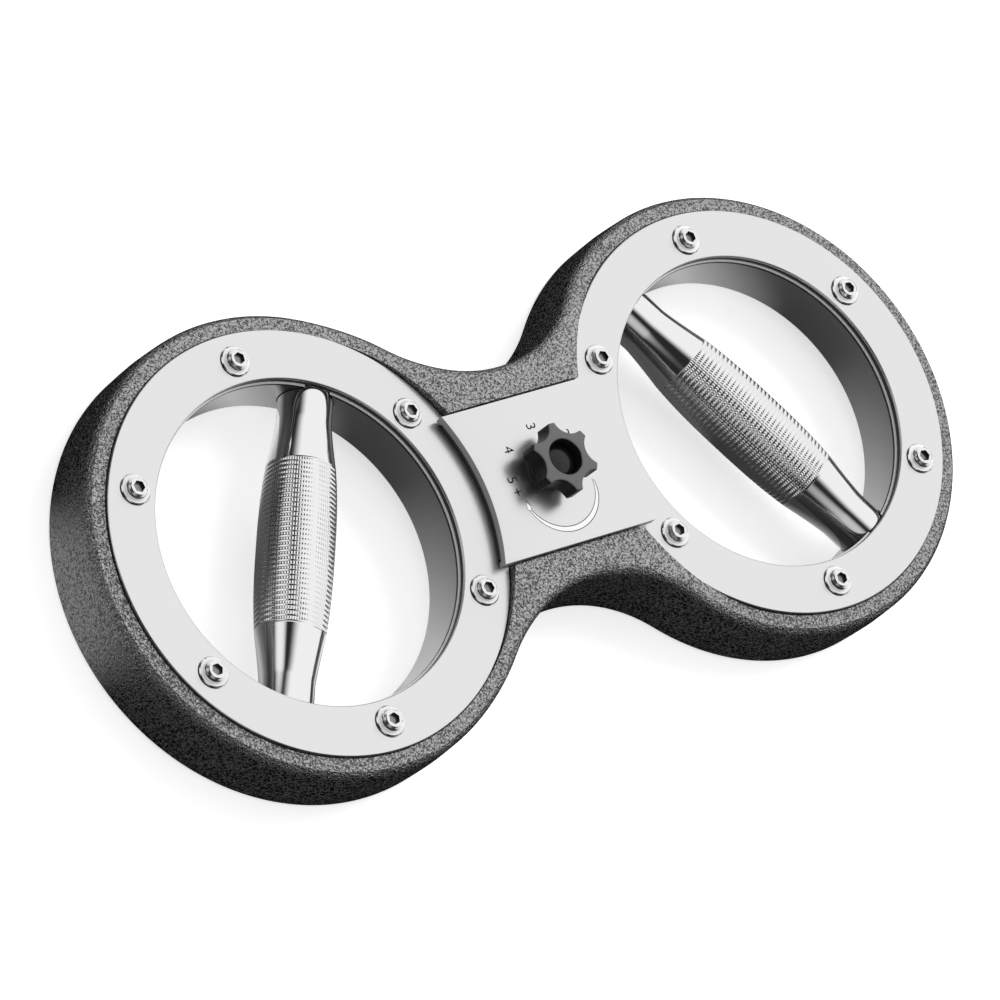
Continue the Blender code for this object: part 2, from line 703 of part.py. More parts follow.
def make_knob(axis, plastic, brass, gloss):
    """The star knob, its threaded insert, and the cap in the hollow of its top."""
    star = star_points()
    trim = 1 - KNOB_EDGE / KNOB_TIP_R
    hub = [
        (KNOB_HUB_R * x / math.hypot(x, y), KNOB_HUB_R * y / math.hypot(x, y))
        for x, y in star
    ]
    slim = [(x * trim, y * trim) for x, y in star]
    sections = (
        (hub, HUB_BASE_Z),
        (hub, LOBE_BASE_Z),
        (slim, LOBE_BASE_Z),
        (star, LOBE_BASE_Z + KNOB_EDGE),
        (star, KNOB_TOP_Z - KNOB_EDGE),
        (slim, KNOB_TOP_Z),
    )
    loops = [[(x, y, z) for x, y in shape] for shape, z in sections]
    knob = solid("clamp_knob", loft(loops)[0], plastic, parent=axis)
    bore = [
        (INSERT_R + SEAT_GAP, PLATE_TOP_Z),
        (INSERT_R + SEAT_GAP, RECESS_FLOOR_Z),
        (KNOB_RECESS_R, RECESS_FLOOR_Z),
        (KNOB_RECESS_R, KNOB_TOP_Z + KNOB_EDGE),
    ]
    cut(knob, cutter_solid("knob_bore_cutter", bore, SMALL_ROUND, None, axis))
    insert = ring_profile(
        CLAMP_BOLT_R + HOLE_GAP, INSERT_R, HUB_BASE_Z, HUB_BASE_Z + INSERT_LENGTH
    )
    solid("knob_insert", tube(insert, SMALL_ROUND), brass, parent=axis)
    low = RECESS_FLOOR_Z + SEAT_GAP
    cap_r = KNOB_RECESS_R - SEAT_GAP
    cap = [(cap_r, low), (cap_r, low + CAP_THICKNESS)]
    for degrees in (30, 60):
        a = math.radians(degrees)
        cap.append((cap_r * math.cos(a), low + CAP_THICKNESS + CAP_CROWN * math.sin(a)))
    solid("knob_cap", turned(cap, SMALL_ROUND), gloss, parent=axis)


def build():
    clear_scene()
    black_coat = material("black_hammered_paint", (0.03, 0.03, 0.032), 0.5, 0.3)
    satin_steel = material("satin_steel", (0.78, 0.78, 0.78), 0.3, 1.0)
    dark_alloy = material("drum_alloy", (0.45, 0.45, 0.46), 0.3, 1.0)
    chrome = material("chrome", (0.85, 0.85, 0.86), 0.12, 1.0)
    zinc_steel = material("zinc_steel", (0.6, 0.6, 0.6), 0.35, 1.0)
    brass = material("brass", (0.75, 0.58, 0.3), 0.3, 1.0)
    nylon = material("white_nylon", (0.8, 0.8, 0.77), 0.5, 0.0)
    friction = material("brake_lining", (0.05, 0.05, 0.05), 0.8, 0.0)
    knob_plastic = material("knob_plastic", (0.06, 0.06, 0.06), 0.45, 0.0)
    gloss_plastic = material("gloss_black", (0.01, 0.01, 0.01), 0.1, 0.0)

    make_body(black_coat)
    screw = button_screw_mesh(chrome)
    for side, x, angle in (
        ("left", -AXIS_X, GRIP_ANGLE),
        ("right", AXIS_X, math.pi - GRIP_ANGLE),
    ):
        make_bearing(side, x, brass, nylon)
        axis = axis_empty(f"{side}_rotor_axis", (x, 0, 0))
        make_drum(side, axis, angle, dark_alloy)
        make_ring(side, axis, satin_steel, screw)
        make_grip(side, axis, angle, chrome, zinc_steel)
    make_clamp_bolt(zinc_steel)
    make_lift_spring(zinc_steel)
    plate_axis, washer = make_brake_plate(satin_steel, friction)
    solid("knob_washer", tube(washer, SMALL_ROUND), zinc_steel, parent=plate_axis)
    knob_axis = axis_empty("knob_axis", (0, 0, 0), plate_axis)
    make_knob(knob_axis, knob_plastic, brass, gloss_plastic)


build()
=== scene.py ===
"""How the hand gripper looks: fine shapes, finishes, light and camera. Metres, +Z out of its front.

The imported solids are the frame. Each section below is one piece or one group of like pieces, in the
order in which the real gripper goes together.
"""

import math

import bpy
from mathutils import Matrix, Vector


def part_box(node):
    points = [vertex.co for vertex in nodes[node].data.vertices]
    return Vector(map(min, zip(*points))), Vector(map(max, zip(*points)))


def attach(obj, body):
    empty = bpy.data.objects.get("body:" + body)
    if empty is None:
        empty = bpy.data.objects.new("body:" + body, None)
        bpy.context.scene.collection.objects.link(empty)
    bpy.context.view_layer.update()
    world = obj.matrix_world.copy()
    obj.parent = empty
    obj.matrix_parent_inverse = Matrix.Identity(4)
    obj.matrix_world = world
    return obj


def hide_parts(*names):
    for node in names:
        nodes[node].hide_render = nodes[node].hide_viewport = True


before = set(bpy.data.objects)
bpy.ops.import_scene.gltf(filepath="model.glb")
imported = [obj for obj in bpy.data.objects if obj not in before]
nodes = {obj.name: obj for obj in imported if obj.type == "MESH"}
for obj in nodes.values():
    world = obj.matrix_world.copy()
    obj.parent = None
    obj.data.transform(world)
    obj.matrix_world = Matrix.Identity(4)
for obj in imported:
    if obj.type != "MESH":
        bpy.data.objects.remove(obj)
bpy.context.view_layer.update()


# Cast body
# A figure-eight casting in black hammer paint, with a soft edge over the waist and a ridge round
# the rings. The two bores, the seat of the brake plate and the bolt hole are machined into it.

ring_low, ring_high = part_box("right_front_ring")
RING_X = (ring_low.x + ring_high.x) / 2
FACE_Z = ring_high.z
BODY_R = 0.0928
WAIST_HALF_WIDTH = 0.045
RIM_Z = FACE_Z - 0.0013
WAIST_Z = FACE_Z + 0.0042
WAIST_FLAT_X = 0.021
RAMP_FOOT_X = 0.073
POCKET_R = 0.0855
TOP_INSET = 0.0090
RIDGE_INSET = 0.0023
RIDGE_DROP = 0.0006
RIDGE_ROUND = 0.0045
WAIST_EDGE = 0.0045
BULGE = 0.00057
BACK_FLARE = 0.0003
BACK_EDGE = 0.0016
TOP_CROWN = 0.0001
ROW_STEP = 0.001
RING_STEPS = 72
FILLET_STEPS = 24
LARGE_ROUND = 192
SMALL_ROUND = 64
FILLET_R = (RING_X**2 + WAIST_HALF_WIDTH**2 - BODY_R**2) / (2 * (BODY_R - WAIST_HALF_WIDTH))
FILLET_Y = WAIST_HALF_WIDTH + FILLET_R
FILLET_START = math.atan2(FILLET_Y, -RING_X)


def blend(share, low, high):
    """The value that lies a share of the way from low to high."""
    return low + (high - low) * share


def draw_line(name, points):
    """A chain of edges: one point pulled from place to place. The object is left in edit mode."""
    if bpy.context.object and bpy.context.object.mode == "EDIT":
        bpy.ops.object.mode_set(mode="OBJECT")
    bpy.ops.object.select_all(action="DESELECT")
    bpy.ops.mesh.primitive_plane_add(size=0.001)
    made = bpy.context.object
    made.name = made.data.name = name
    bpy.ops.object.mode_set(mode="EDIT")
    bpy.ops.mesh.select_all(action="SELECT")
    bpy.ops.mesh.merge(type="CENTER")
    bpy.ops.transform.translate(value=points[0])
    for here, there in zip(points, points[1:]):
        step = [b - a for a, b in zip(here, there)]
        bpy.ops.mesh.extrude_vertices_move(TRANSFORM_OT_translate={"value": step})
    return made


def waist_share(x):
    """0 round the rings, 1 on the waist's level top, with a smooth ramp between."""
    t = (RAMP_FOOT_X - abs(x)) / (RAMP_FOOT_X - WAIST_FLAT_X)
    t = min(max(t, 0.0), 1.0)
    return t * t * (3 - 2 * t)


def body_section():
    """The casting's section from the top's inside, over the edge and down, to the back's inside.

    Each row is (inset and drop at the rings, inset and drop at the waist, share): share is 0 at the
    top, where drops count, and 1 at the back, whose rows hold a height instead.
    """
    rows = [(TOP_INSET, -TOP_CROWN, TOP_INSET, 0.0, 0.0)]
    # The ridge's round starts 42 degrees up from level
    first = math.radians(42)
    for step in range(6):
        share = step / 5
        a = blend(share, first, math.pi / 2)
        inset = RIDGE_INSET * (1 - math.sin(a)) / (1 - math.sin(first))
        drop = RIDGE_DROP + RIDGE_ROUND * (math.cos(first) - math.cos(a)) / math.cos(first)
        b = share * math.pi / 2
        rows.append(
            (inset, drop, WAIST_EDGE * (1 - math.sin(b)), WAIST_EDGE * (1 - math.cos(b)), 0.0)
        )
    for share, bulge in ((0.2, 0.5), (0.45, 1.0), (0.75, 0.85)):
        rows.append((-BULGE * bulge, RIDGE_DROP + RIDGE_ROUND, -BULGE * bulge, WAIST_EDGE, share))
    for step in range(7):
        a = step / 6 * math.pi / 2
        inset = BACK_EDGE * (1 - math.cos(a)) - BACK_FLARE
        height = BACK_EDGE * (1 - math.sin(a))
        rows.append((inset, height, inset, height, 1.0))
    rows.append((TOP_INSET, 0.0, TOP_INSET, 0.0, 1.0))
    return rows


def sweep_section(name, rows):
    """A quarter of the casting, swept round a ring and then back round the waist's hollow.

    Until it is shaped, a point's height holds the number of its row.
    """
    line = [(RING_X + BODY_R - row[0], 0, -i * ROW_STEP) for i, row in enumerate(rows)]
    made = draw_line(name, line)
    bpy.ops.mesh.select_all(action="SELECT")
    bpy.ops.mesh.spin(
        steps=RING_STEPS, angle=FILLET_START, center=(RING_X, 0, 0), axis=(0, 0, -1)
    )
    sweep = math.pi / 2 - (math.pi - FILLET_START)
    bpy.ops.mesh.spin(
        steps=FILLET_STEPS, angle=sweep, center=(0, FILLET_Y, 0), axis=(0, 0, 1)
    )
    bpy.ops.object.mode_set(mode="OBJECT")
    return made


def outer_point(x, y):
    """The outline's point beside (x, y), and the direction that faces out of the casting there."""
    angle = math.atan2(y, x - RING_X)
    if angle <= FILLET_START + 1e-6:
        out = Vector((math.cos(angle), math.sin(angle), 0))
        return Vector((RING_X, 0, 0)) + out * BODY_R, out
    out = (Vector((0, FILLET_Y, 0)) - Vector((x, y, 0))).normalized()
    return Vector((0, FILLET_Y, 0)) - out * FILLET_R, out


def shape_quarter(made, rows):
    """Sets each point's inset and height for its place between the rings and the waist."""
    for vertex in made.data.vertices:
        row = rows[round(-vertex.co.z / ROW_STEP)]
        rim_inset, rim_drop, waist_inset, waist_drop, share = row
        edge, out = outer_point(vertex.co.x, vertex.co.y)
        waist = waist_share(edge.x)
        place = edge - out * blend(waist, rim_inset, waist_inset)
        top = blend(waist_share(place.x), RIM_Z, WAIST_Z)
        if share == 1.0:
            height = rim_drop
        elif share > 0.0:
            height = blend(share, top - blend(waist, rim_drop, waist_drop), BACK_EDGE)
        else:
            height = top - blend(waist, rim_drop, waist_drop)
        vertex.co = (place.x, place.y, height)


def pull_to_middle(made):
    """Closes the top and the back with strips that run from the section's two ends to Y = 0."""
    for at_top in (True, False):
        bpy.ops.object.mode_set(mode="EDIT")
        bpy.ops.mesh.select_all(action="DESELECT")
        bpy.ops.object.mode_set(mode="OBJECT")
        for vertex in made.data.vertices:
            edge, out = outer_point(vertex.co.x, vertex.co.y)
            depth = (edge - Vector((vertex.co.x, vertex.co.y, 0))).dot(out)
            high = vertex.co.z > FACE_Z / 2
            vertex.select = abs(depth - TOP_INSET) < 1e-6 and high == at_top
        bpy.ops.object.mode_set(mode="EDIT")
        bpy.ops.mesh.select_mode(type="VERT")
        bpy.ops.mesh.extrude_region_move()
        bpy.ops.transform.resize(value=(1, 0, 1), center_override=(0, 0, 0))
        bpy.ops.object.mode_set(mode="OBJECT")


def apply_modifier(made, kind, **settings):
    """Puts a modifier with these settings on a piece and applies it."""
    bpy.ops.object.select_all(action="DESELECT")
    made.select_set(True)
    bpy.context.view_layer.objects.active = made
    modifier = made.modifiers.new(kind.title(), kind)
    for key, value in settings.items():
        setattr(modifier, key, value)
    bpy.ops.object.modifier_apply(modifier=modifier.name)


def cut_away(made, cutter):
    """Cuts the cutter's shape out of a piece and removes the cutter."""
    apply_modifier(made, "BOOLEAN", operation="DIFFERENCE", solver="EXACT", object=cutter)
    bpy.data.objects.remove(cutter)


def clean(made):
    """Merges doubled points and turns all faces out."""
    bpy.ops.object.mode_set(mode="EDIT")
    bpy.ops.mesh.select_all(action="SELECT")
    bpy.ops.mesh.remove_doubles(threshold=1e-6)
    bpy.ops.mesh.normals_make_consistent(inside=False)
    bpy.ops.object.mode_set(mode="OBJECT")


def turned(name, profile, steps, closed=True):
    """A turned piece on the Z axis, from (radius, height) points. A closed profile makes a ring."""
    points = [(r, 0, z) for r, z in profile]
    made = draw_line(name, points + points[:1] if closed else points)
    bpy.ops.mesh.select_all(action="SELECT")
    bpy.ops.mesh.spin(steps=steps, angle=math.tau, center=(0, 0, 0), axis=(0, 0, 1))
    bpy.ops.object.mode_set(mode="OBJECT")
    clean(made)
    return made


def settle(made, x=0.0, y=0.0, z=0.0, turn=0.0, tilt=0.0):
    """Tips a piece about Y, turns it about Z, moves it there and keeps the place in its mesh."""
    place = Matrix.Translation((x, y, z)) @ Matrix.Rotation(turn, 4, "Z")
    made.matrix_world = place @ Matrix.Rotation(tilt, 4, "Y")
    bpy.ops.object.select_all(action="DESELECT")
    made.select_set(True)
    bpy.context.view_layer.objects.active = made
    bpy.ops.object.transform_apply(location=True, rotation=True, scale=True)


def smooth(made, degrees=30):
    """Shades a piece smooth, apart from the edges that turn by more than the angle."""
    bpy.ops.object.select_all(action="DESELECT")
    made.select_set(True)
    bpy.context.view_layer.objects.active = made
    bpy.ops.object.shade_smooth_by_angle(angle=math.radians(degrees))


section_rows = body_section()
body = sweep_section("cast_body", section_rows)
shape_quarter(body, section_rows)
pull_to_middle(body)
clean(body)
apply_modifier(
    body, "MIRROR", use_axis=(True, True, False), use_clip=True, merge_threshold=1e-5
)
clean(body)

# Cutters start below the back and end above the front
CLEARANCE = 0.0003
CUT_LOW = -0.002
CUT_HIGH = FACE_Z + 0.02
liner_low, liner_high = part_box("right_bearing_liner")
BORE_R = (liner_high.x - liner_low.x) / 2 + CLEARANCE
FRONT_SEAT_Z = liner_high.z + CLEARANCE
REAR_SEAT_Z = liner_low.z - CLEARANCE
for side in (-1, 1):
    bore = turned(
        "bore_cutter",
        [
            (0, CUT_LOW),
            (POCKET_R, CUT_LOW),
            (POCKET_R, REAR_SEAT_Z),
            (BORE_R, REAR_SEAT_Z),
            (BORE_R, FRONT_SEAT_Z),
            (POCKET_R, FRONT_SEAT_Z),
            (POCKET_R, CUT_HIGH),
            (0, CUT_HIGH),
        ],
        LARGE_ROUND,
        closed=False,
    )
    settle(bore, x=side * RING_X)
    cut_away(body, bore)

plate_low, plate_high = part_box("brake_plate")
PLATE_GAP = 0.0011
PLATE_SEAT_Z = plate_low.z - 0.0010
PLATE_SEAT_R = 0.065
PLATE_SEAT_HEIGHT = 0.02
bpy.ops.object.select_all(action="DESELECT")
bpy.ops.mesh.primitive_cube_add(size=1, location=(0, 0, PLATE_SEAT_Z + PLATE_SEAT_HEIGHT / 2))
plate_seat = bpy.context.object
plate_seat.scale = (
    2 * (RING_X - PLATE_SEAT_R), 2 * (plate_high.y + PLATE_GAP), PLATE_SEAT_HEIGHT
)
bpy.ops.object.transform_apply(location=True, rotation=True, scale=True)
cut_away(body, plate_seat)

BOLT_HOLE_R = 0.0044
BOLT_HEAD_HOLE_R = 0.0071
BOLT_HEAD_SEAT_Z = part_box("clamp_bolt")[0].z + 0.0083
SPRING_HOLE_R = 0.0080
SPRING_SEAT_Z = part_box("lift_spring")[0].z - CLEARANCE
bolt_hole = turned(
    "bolt_cutter",
    [
        (0, CUT_LOW),
        (BOLT_HEAD_HOLE_R, CUT_LOW),
        (BOLT_HEAD_HOLE_R, BOLT_HEAD_SEAT_Z),
        (BOLT_HOLE_R, BOLT_HEAD_SEAT_Z),
        (BOLT_HOLE_R, SPRING_SEAT_Z),
        (SPRING_HOLE_R, SPRING_SEAT_Z),
        (SPRING_HOLE_R, CUT_HIGH),
        (0, CUT_HIGH),
    ],
    SMALL_ROUND,
    closed=False,
)
cut_away(body, bolt_hole)
clean(body)
smooth(body, 20)
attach(body, "frame")
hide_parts("frame")


def new_finish(name, colour, roughness, metallic=0.0):
    """A Principled material with its fixed values on its own sockets."""
    made = bpy.data.materials.new(name)
    made.use_nodes = True
    shader = made.node_tree.nodes["Principled BSDF"]
    shader.inputs["Base Color"].default_value = (*colour, 1)
    shader.inputs["Roughness"].default_value = roughness
    shader.inputs["Metallic"].default_value = metallic
    return made, made.node_tree, shader


def add_node(tree, kind, **values):
    """A node with these socket values. A key in lower case sets the node's own setting."""
    node = tree.nodes.new(kind)
    for key, value in values.items():
        if key.islower():
            setattr(node, key, value)
        else:
            node.inputs[key.replace("_", " ")].default_value = value
    return node


def give(made, finish):
    """Gives a piece one finish in place of those it has."""
    made.data.materials.clear()
    made.data.materials.append(finish)


# Matt worm-like veins fill the noise's low places, between bright flakes: (height, grey, metal)
VEIN = (0.41, 0.07, 0.15)
FLAKE = (0.49, 0.46, 1.0)
hammer_paint, tree, shader = new_finish("hammer_paint", (0.47, 0.47, 0.47), 0.20, 1.0)
place = tree.nodes.new("ShaderNodeTexCoord")
grain = add_node(
    tree, "ShaderNodeTexNoise", Scale=1050.0, Detail=1.0, Roughness=0.5, Distortion=0.8
)
tree.links.new(place.outputs["Object"], grain.inputs["Vector"])
veins = tree.nodes.new("ShaderNodeValToRGB")
for stop, (height, grey, metal) in zip(veins.color_ramp.elements, (VEIN, FLAKE)):
    stop.position = height
    stop.color = (grey, grey, grey, metal)
tree.links.new(grain.outputs["Fac"], veins.inputs["Fac"])
tree.links.new(veins.outputs["Color"], shader.inputs["Base Color"])
tree.links.new(veins.outputs["Alpha"], shader.inputs["Metallic"])
bump = add_node(tree, "ShaderNodeBump", Strength=1.0, Distance=0.0008)
tree.links.new(grain.outputs["Fac"], bump.inputs["Height"])
tree.links.new(bump.outputs["Normal"], shader.inputs["Normal"])
give(body, hammer_paint)


# Bearings, brake linings, bolts and spring
# A brass liner is pressed into each bore, with a nylon washer on both ends, and friction pads are
# bonded under the brake plate. Bolts and spring are zinc-plated. All keep the frame's plain shapes.

def grained_finish(name, colour, roughness, metallic, scale, depth, spread):
    """A finish with a fine all-over grain in its roughness and height."""
    made, tree, shader = new_finish(name, colour, roughness, metallic)
    place = tree.nodes.new("ShaderNodeTexCoord")
    grain = add_node(tree, "ShaderNodeTexNoise", Scale=scale, Detail=3.0)
    tree.links.new(place.outputs["Object"], grain.inputs["Vector"])
    rough = add_node(tree, "ShaderNodeMapRange")
    rough.inputs["To Min"].default_value = roughness - spread
    rough.inputs["To Max"].default_value = roughness + spread
    tree.links.new(grain.outputs["Fac"], rough.inputs["Value"])
    tree.links.new(rough.outputs["Result"], shader.inputs["Roughness"])
    bump = add_node(tree, "ShaderNodeBump", Strength=0.4, Distance=depth)
    tree.links.new(grain.outputs["Fac"], bump.inputs["Height"])
    tree.links.new(bump.outputs["Normal"], shader.inputs["Normal"])
    return made


liner_brass = grained_finish("liner_brass", (0.72, 0.55, 0.28), 0.30, 1.0, 900.0, 0.00002, 0.06)
washer_nylon = grained_finish("washer_nylon", (0.78, 0.78, 0.75), 0.50, 0.0, 700.0, 0.00003, 0.08)
pad_friction = grained_finish("pad_friction", (0.045, 0.042, 0.04), 0.85, 0.0, 1500.0, 0.0001, 0.08)
zinc_plate = grained_finish("zinc_plate", (0.62, 0.62, 0.62), 0.32, 1.0, 1200.0, 0.00002, 0.08)
for side in ("left", "right"):
    give(nodes[f"{side}_bearing_liner"], liner_brass)
    give(nodes[f"{side}_front_washer"], washer_nylon)
    give(nodes[f"{side}_rear_washer"], washer_nylon)
    give(nodes[f"{side}_brake_lining"], pad_friction)
    give(nodes[f"{side}_upper_grip_bolt"], zinc_plate)
    give(nodes[f"{side}_lower_grip_bolt"], zinc_plate)
give(nodes["clamp_bolt"], zinc_plate)
give(nodes["lift_spring"], zinc_plate)
give(nodes["knob_insert"], liner_brass)


# Drums
# The sleeve inside each ring is turned from light alloy. A narrow ledge at its front shows inside
# the ring, painted pale as a highlight, over a groove painted black as shade. Two pockets in its
# wall take the grip's ends.

drum_low, drum_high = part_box("right_drum")
DRUM_INNER_R = 0.0644
RING_INNER_R = 0.0651
DRUM_OUTER_R = 0.080
DRUM_CHAMFER = 0.0008
LEDGE_STEP = 0.0001
LEDGE_Z = drum_high.z - 0.0010
GROOVE_Z = drum_high.z - 0.0011
POCKET_WIDE_R = 0.0110
POCKET_START = 0.050
POCKET_END = 0.0653
GRIP_BOLT_R = 0.0043
GRIP_BOLT_HEAD_R = 0.0068
BOLT_SEAT_R = DRUM_OUTER_R - 0.0065
POCKET_REACH = 0.083
DRUM_FLANGE_R = (drum_high.x - drum_low.x) / 2
DRUM_FLANGE_Z = drum_low.z + 0.0032
DRUM_FLANGE_CHAMFER = 0.0004
GRIP_Z = (drum_low.z + FACE_Z) / 2
GRIP_LEAN = {"left": math.radians(60), "right": math.radians(120)}

drum_alloy, tree, shader = new_finish("drum_alloy", (0.42, 0.42, 0.425), 0.28, 1.0)
place = tree.nodes.new("ShaderNodeTexCoord")
stretch = add_node(tree, "ShaderNodeMapping", Scale=(40.0, 40.0, 4000.0))
tree.links.new(place.outputs["Object"], stretch.inputs["Vector"])
marks = add_node(tree, "ShaderNodeTexNoise", Scale=1.0, Detail=2.0)
tree.links.new(stretch.outputs["Vector"], marks.inputs["Vector"])
bump = add_node(tree, "ShaderNodeBump", Strength=0.15, Distance=0.00002)
tree.links.new(marks.outputs["Fac"], bump.inputs["Height"])
tree.links.new(bump.outputs["Normal"], shader.inputs["Normal"])
# Pale white paints a highlight on the drum's front ledge; black paints shade in grooves and sockets
ledge_painted_highlight = grained_finish("ledge_painted_highlight", (0.95, 0.95, 0.95), 0.30, 0.0, 1200.0, 0.00001, 0.04)
painted_shade_black = grained_finish("painted_shade_black", (0.02, 0.02, 0.02), 0.5, 0.0, 1200.0, 0.00002, 0.06)
for side, x in (("left", -RING_X), ("right", RING_X)):
    drum = turned(
        f"{side}_sleeve",
        [
            (DRUM_INNER_R + DRUM_CHAMFER, drum_low.z),
            (DRUM_FLANGE_R - DRUM_FLANGE_CHAMFER, drum_low.z),
            (DRUM_FLANGE_R, drum_low.z + DRUM_FLANGE_CHAMFER),
            (DRUM_FLANGE_R, DRUM_FLANGE_Z),
            (DRUM_OUTER_R, DRUM_FLANGE_Z),
            (DRUM_OUTER_R, drum_high.z),
            (DRUM_INNER_R + LEDGE_STEP, drum_high.z),
            (DRUM_INNER_R + LEDGE_STEP, LEDGE_Z),
            (DRUM_INNER_R, GROOVE_Z),
            (DRUM_INNER_R, drum_low.z + DRUM_CHAMFER),
        ],
        LARGE_ROUND,
    )
    for turn in (GRIP_LEAN[side], GRIP_LEAN[side] + math.pi):
        pocket = turned(
            "grip_pocket_cutter",
            [
                (0, POCKET_START),
                (POCKET_WIDE_R, POCKET_START),
                (POCKET_WIDE_R, POCKET_END),
                (GRIP_BOLT_R, POCKET_END),
                (GRIP_BOLT_R, BOLT_SEAT_R),
                (GRIP_BOLT_HEAD_R, BOLT_SEAT_R),
                (GRIP_BOLT_HEAD_R, POCKET_REACH),
                (0, POCKET_REACH),
            ],
            SMALL_ROUND,
            closed=False,
        )
        settle(pocket, z=GRIP_Z, turn=turn, tilt=math.pi / 2)
        cut_away(drum, pocket)
    smooth(drum)
    give(drum, drum_alloy)
    drum.data.materials.append(ledge_painted_highlight)
    drum.data.materials.append(painted_shade_black)
    # Painted highlight: the pale front top faces. Painted shade: the black ledge wall and groove
    for face in drum.data.polygons:
        reach = math.hypot(face.center.x, face.center.y)
        if face.normal.z > 0.9 and face.center.z > drum_high.z - 0.0002:
            face.material_index = 1
        elif face.center.z > GROOVE_Z - 0.0001 and reach < RING_INNER_R:
            face.material_index = 2
    settle(drum, x=x)
    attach(drum, f"{side}_rotor")
    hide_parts(f"{side}_drum")


# Grips
# A chromed bar lies across each drum, thick and knurled in the middle, coned to a slim round end.
# The knurl is rolled: narrow rings of small teeth with a groove between one ring and the next.

GRIP_R = 0.0149
KNURL_FALL = 0.0015
KNURL_HALF = 0.034
KNURL_RINGS = 34
ROWS_PER_RING = 6
KNURL_TEETH = 88
TOOTH_DEPTH = 0.00026
GROOVE_DEPTH = 0.00014
GRIP_END = 0.0650
CONE_START_R = 0.0134
CONE_END = 0.054
STUB_R = 0.0106
STUB_EDGE = 0.0003
END_HOLE_R = 0.0044
END_HOLE_DEPTH = 0.022


def knurl_radius(z):
    """The crowned middle's radius: full at Z = 0, and falling in a smooth curve to its ends."""
    t = min(abs(z) / KNURL_HALF, 1.0)
    return GRIP_R - KNURL_FALL * t**2.6


def knurled_bar(name):
    """The bar's middle: a tube of small faces, in rings of teeth with a groove before each ring."""
    rows = KNURL_RINGS * ROWS_PER_RING
    bpy.ops.object.select_all(action="DESELECT")
    bpy.ops.mesh.primitive_grid_add(
        x_subdivisions=2 * KNURL_TEETH, y_subdivisions=rows, size=1.0
    )
    bar = bpy.context.object
    bar.name = bar.data.name = name
    for vertex in bar.data.vertices:
        column = round((vertex.co.x + 0.5) * 2 * KNURL_TEETH)
        row = round((vertex.co.y + 0.5) * rows)
        z = blend(row / rows, -KNURL_HALF, KNURL_HALF)
        radius = knurl_radius(z)
        in_ring = row % ROWS_PER_RING
        if in_ring == 0:
            radius -= GROOVE_DEPTH
        elif column % 2:
            radius -= TOOTH_DEPTH * blend(in_ring / ROWS_PER_RING, 0.25, 1.2)
        angle = column / (2 * KNURL_TEETH) * math.tau
        vertex.co = (radius * math.cos(angle), radius * math.sin(angle), z)
    clean(bar)
    return bar


def plain_end(name, side):
    """The cone and the slim round end outside the knurl, with the bolt's blind hole in the tip."""
    start = knurl_radius(KNURL_HALF) - GROOVE_DEPTH
    profile = [(start, KNURL_HALF), (CONE_START_R - 0.0001, KNURL_HALF + 0.0002)]
    for step in range(13):
        share = step / 12
        z = blend(share, KNURL_HALF + 0.0004, CONE_END)
        profile.append((blend((1 - share) ** 1.2, STUB_R, CONE_START_R), z))
    profile += [
        (STUB_R, GRIP_END - 0.0010),
        (STUB_R, GRIP_END - STUB_EDGE),
        (STUB_R - STUB_EDGE, GRIP_END),
        (END_HOLE_R, GRIP_END),
        (END_HOLE_R, GRIP_END - END_HOLE_DEPTH),
        (0.0, GRIP_END - END_HOLE_DEPTH),
    ]
    return turned(name, [(r, side * z) for r, z in profile], 2 * KNURL_TEETH, closed=False)


chrome, tree, shader = new_finish("chrome", (0.86, 0.86, 0.87), 0.09, 1.0)
place = tree.nodes.new("ShaderNodeTexCoord")
haze = add_node(tree, "ShaderNodeTexNoise", Scale=60.0, Detail=4.0)
tree.links.new(place.outputs["Object"], haze.inputs["Vector"])
rough = add_node(tree, "ShaderNodeMapRange")
rough.inputs["To Min"].default_value = 0.06
rough.inputs["To Max"].default_value = 0.13
tree.links.new(haze.outputs["Fac"], rough.inputs["Value"])
tree.links.new(rough.outputs["Result"], shader.inputs["Roughness"])
for side, x in (("left", -RING_X), ("right", RING_X)):
    bar = knurled_bar(f"{side}_knurled_grip")
    ends = [plain_end(f"{side}_grip_end_{n}", n) for n in (-1, 1)]
    bpy.ops.object.select_all(action="DESELECT")
    for part in (*ends, bar):
        part.select_set(True)
    bpy.context.view_layer.objects.active = bar
    bpy.ops.object.join()
    bpy.ops.object.mode_set(mode="EDIT")
    bpy.ops.mesh.select_all(action="SELECT")
    bpy.ops.mesh.remove_doubles(threshold=2e-5)
    bpy.ops.mesh.normals_make_consistent(inside=False)
    bpy.ops.object.mode_set(mode="OBJECT")
    settle(bar, x=x, z=GRIP_Z, turn=GRIP_LEAN[side], tilt=math.pi / 2)
    smooth(bar, 28)
    give(bar, chrome)
    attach(bar, f"{side}_rotor")
    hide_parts(f"{side}_grip")


# Front rings
# A flat ring of satin-ground steel, screwed to the front of each drum. Its outer rim has a broken
# edge and its inner rim a round one, and six shallow seats with screw holes are cut in its face.

RING_OUTER_R = (ring_high.x - ring_low.x) / 2
RING_EDGE = 0.00025
RING_ROUND = 0.0010
RING_UNDERCUT = 0.0005
SCREW_CIRCLE_R = 0.074
SCREW_HOLE_R = 0.0034
SCREW_HOLE_DEPTH = 0.005
SCREW_SEAT_R = 0.0063
SCREW_SEAT_DEPTH = 0.0008


def screw_place(number):
    """X and Y of a screw, from its ring's middle: six round the circle, the first at 30 degrees."""
    a = math.radians(30 + 60 * number)
    return SCREW_CIRCLE_R * math.cos(a), SCREW_CIRCLE_R * math.sin(a)


def cylinder(vertices, radius, depth, place):
    """A plain cylinder upright about its place, to cut with or to add to a piece."""
    bpy.ops.object.select_all(action="DESELECT")
    bpy.ops.mesh.primitive_cylinder_add(
        vertices=vertices, radius=radius, depth=depth, location=place
    )
    return bpy.context.object


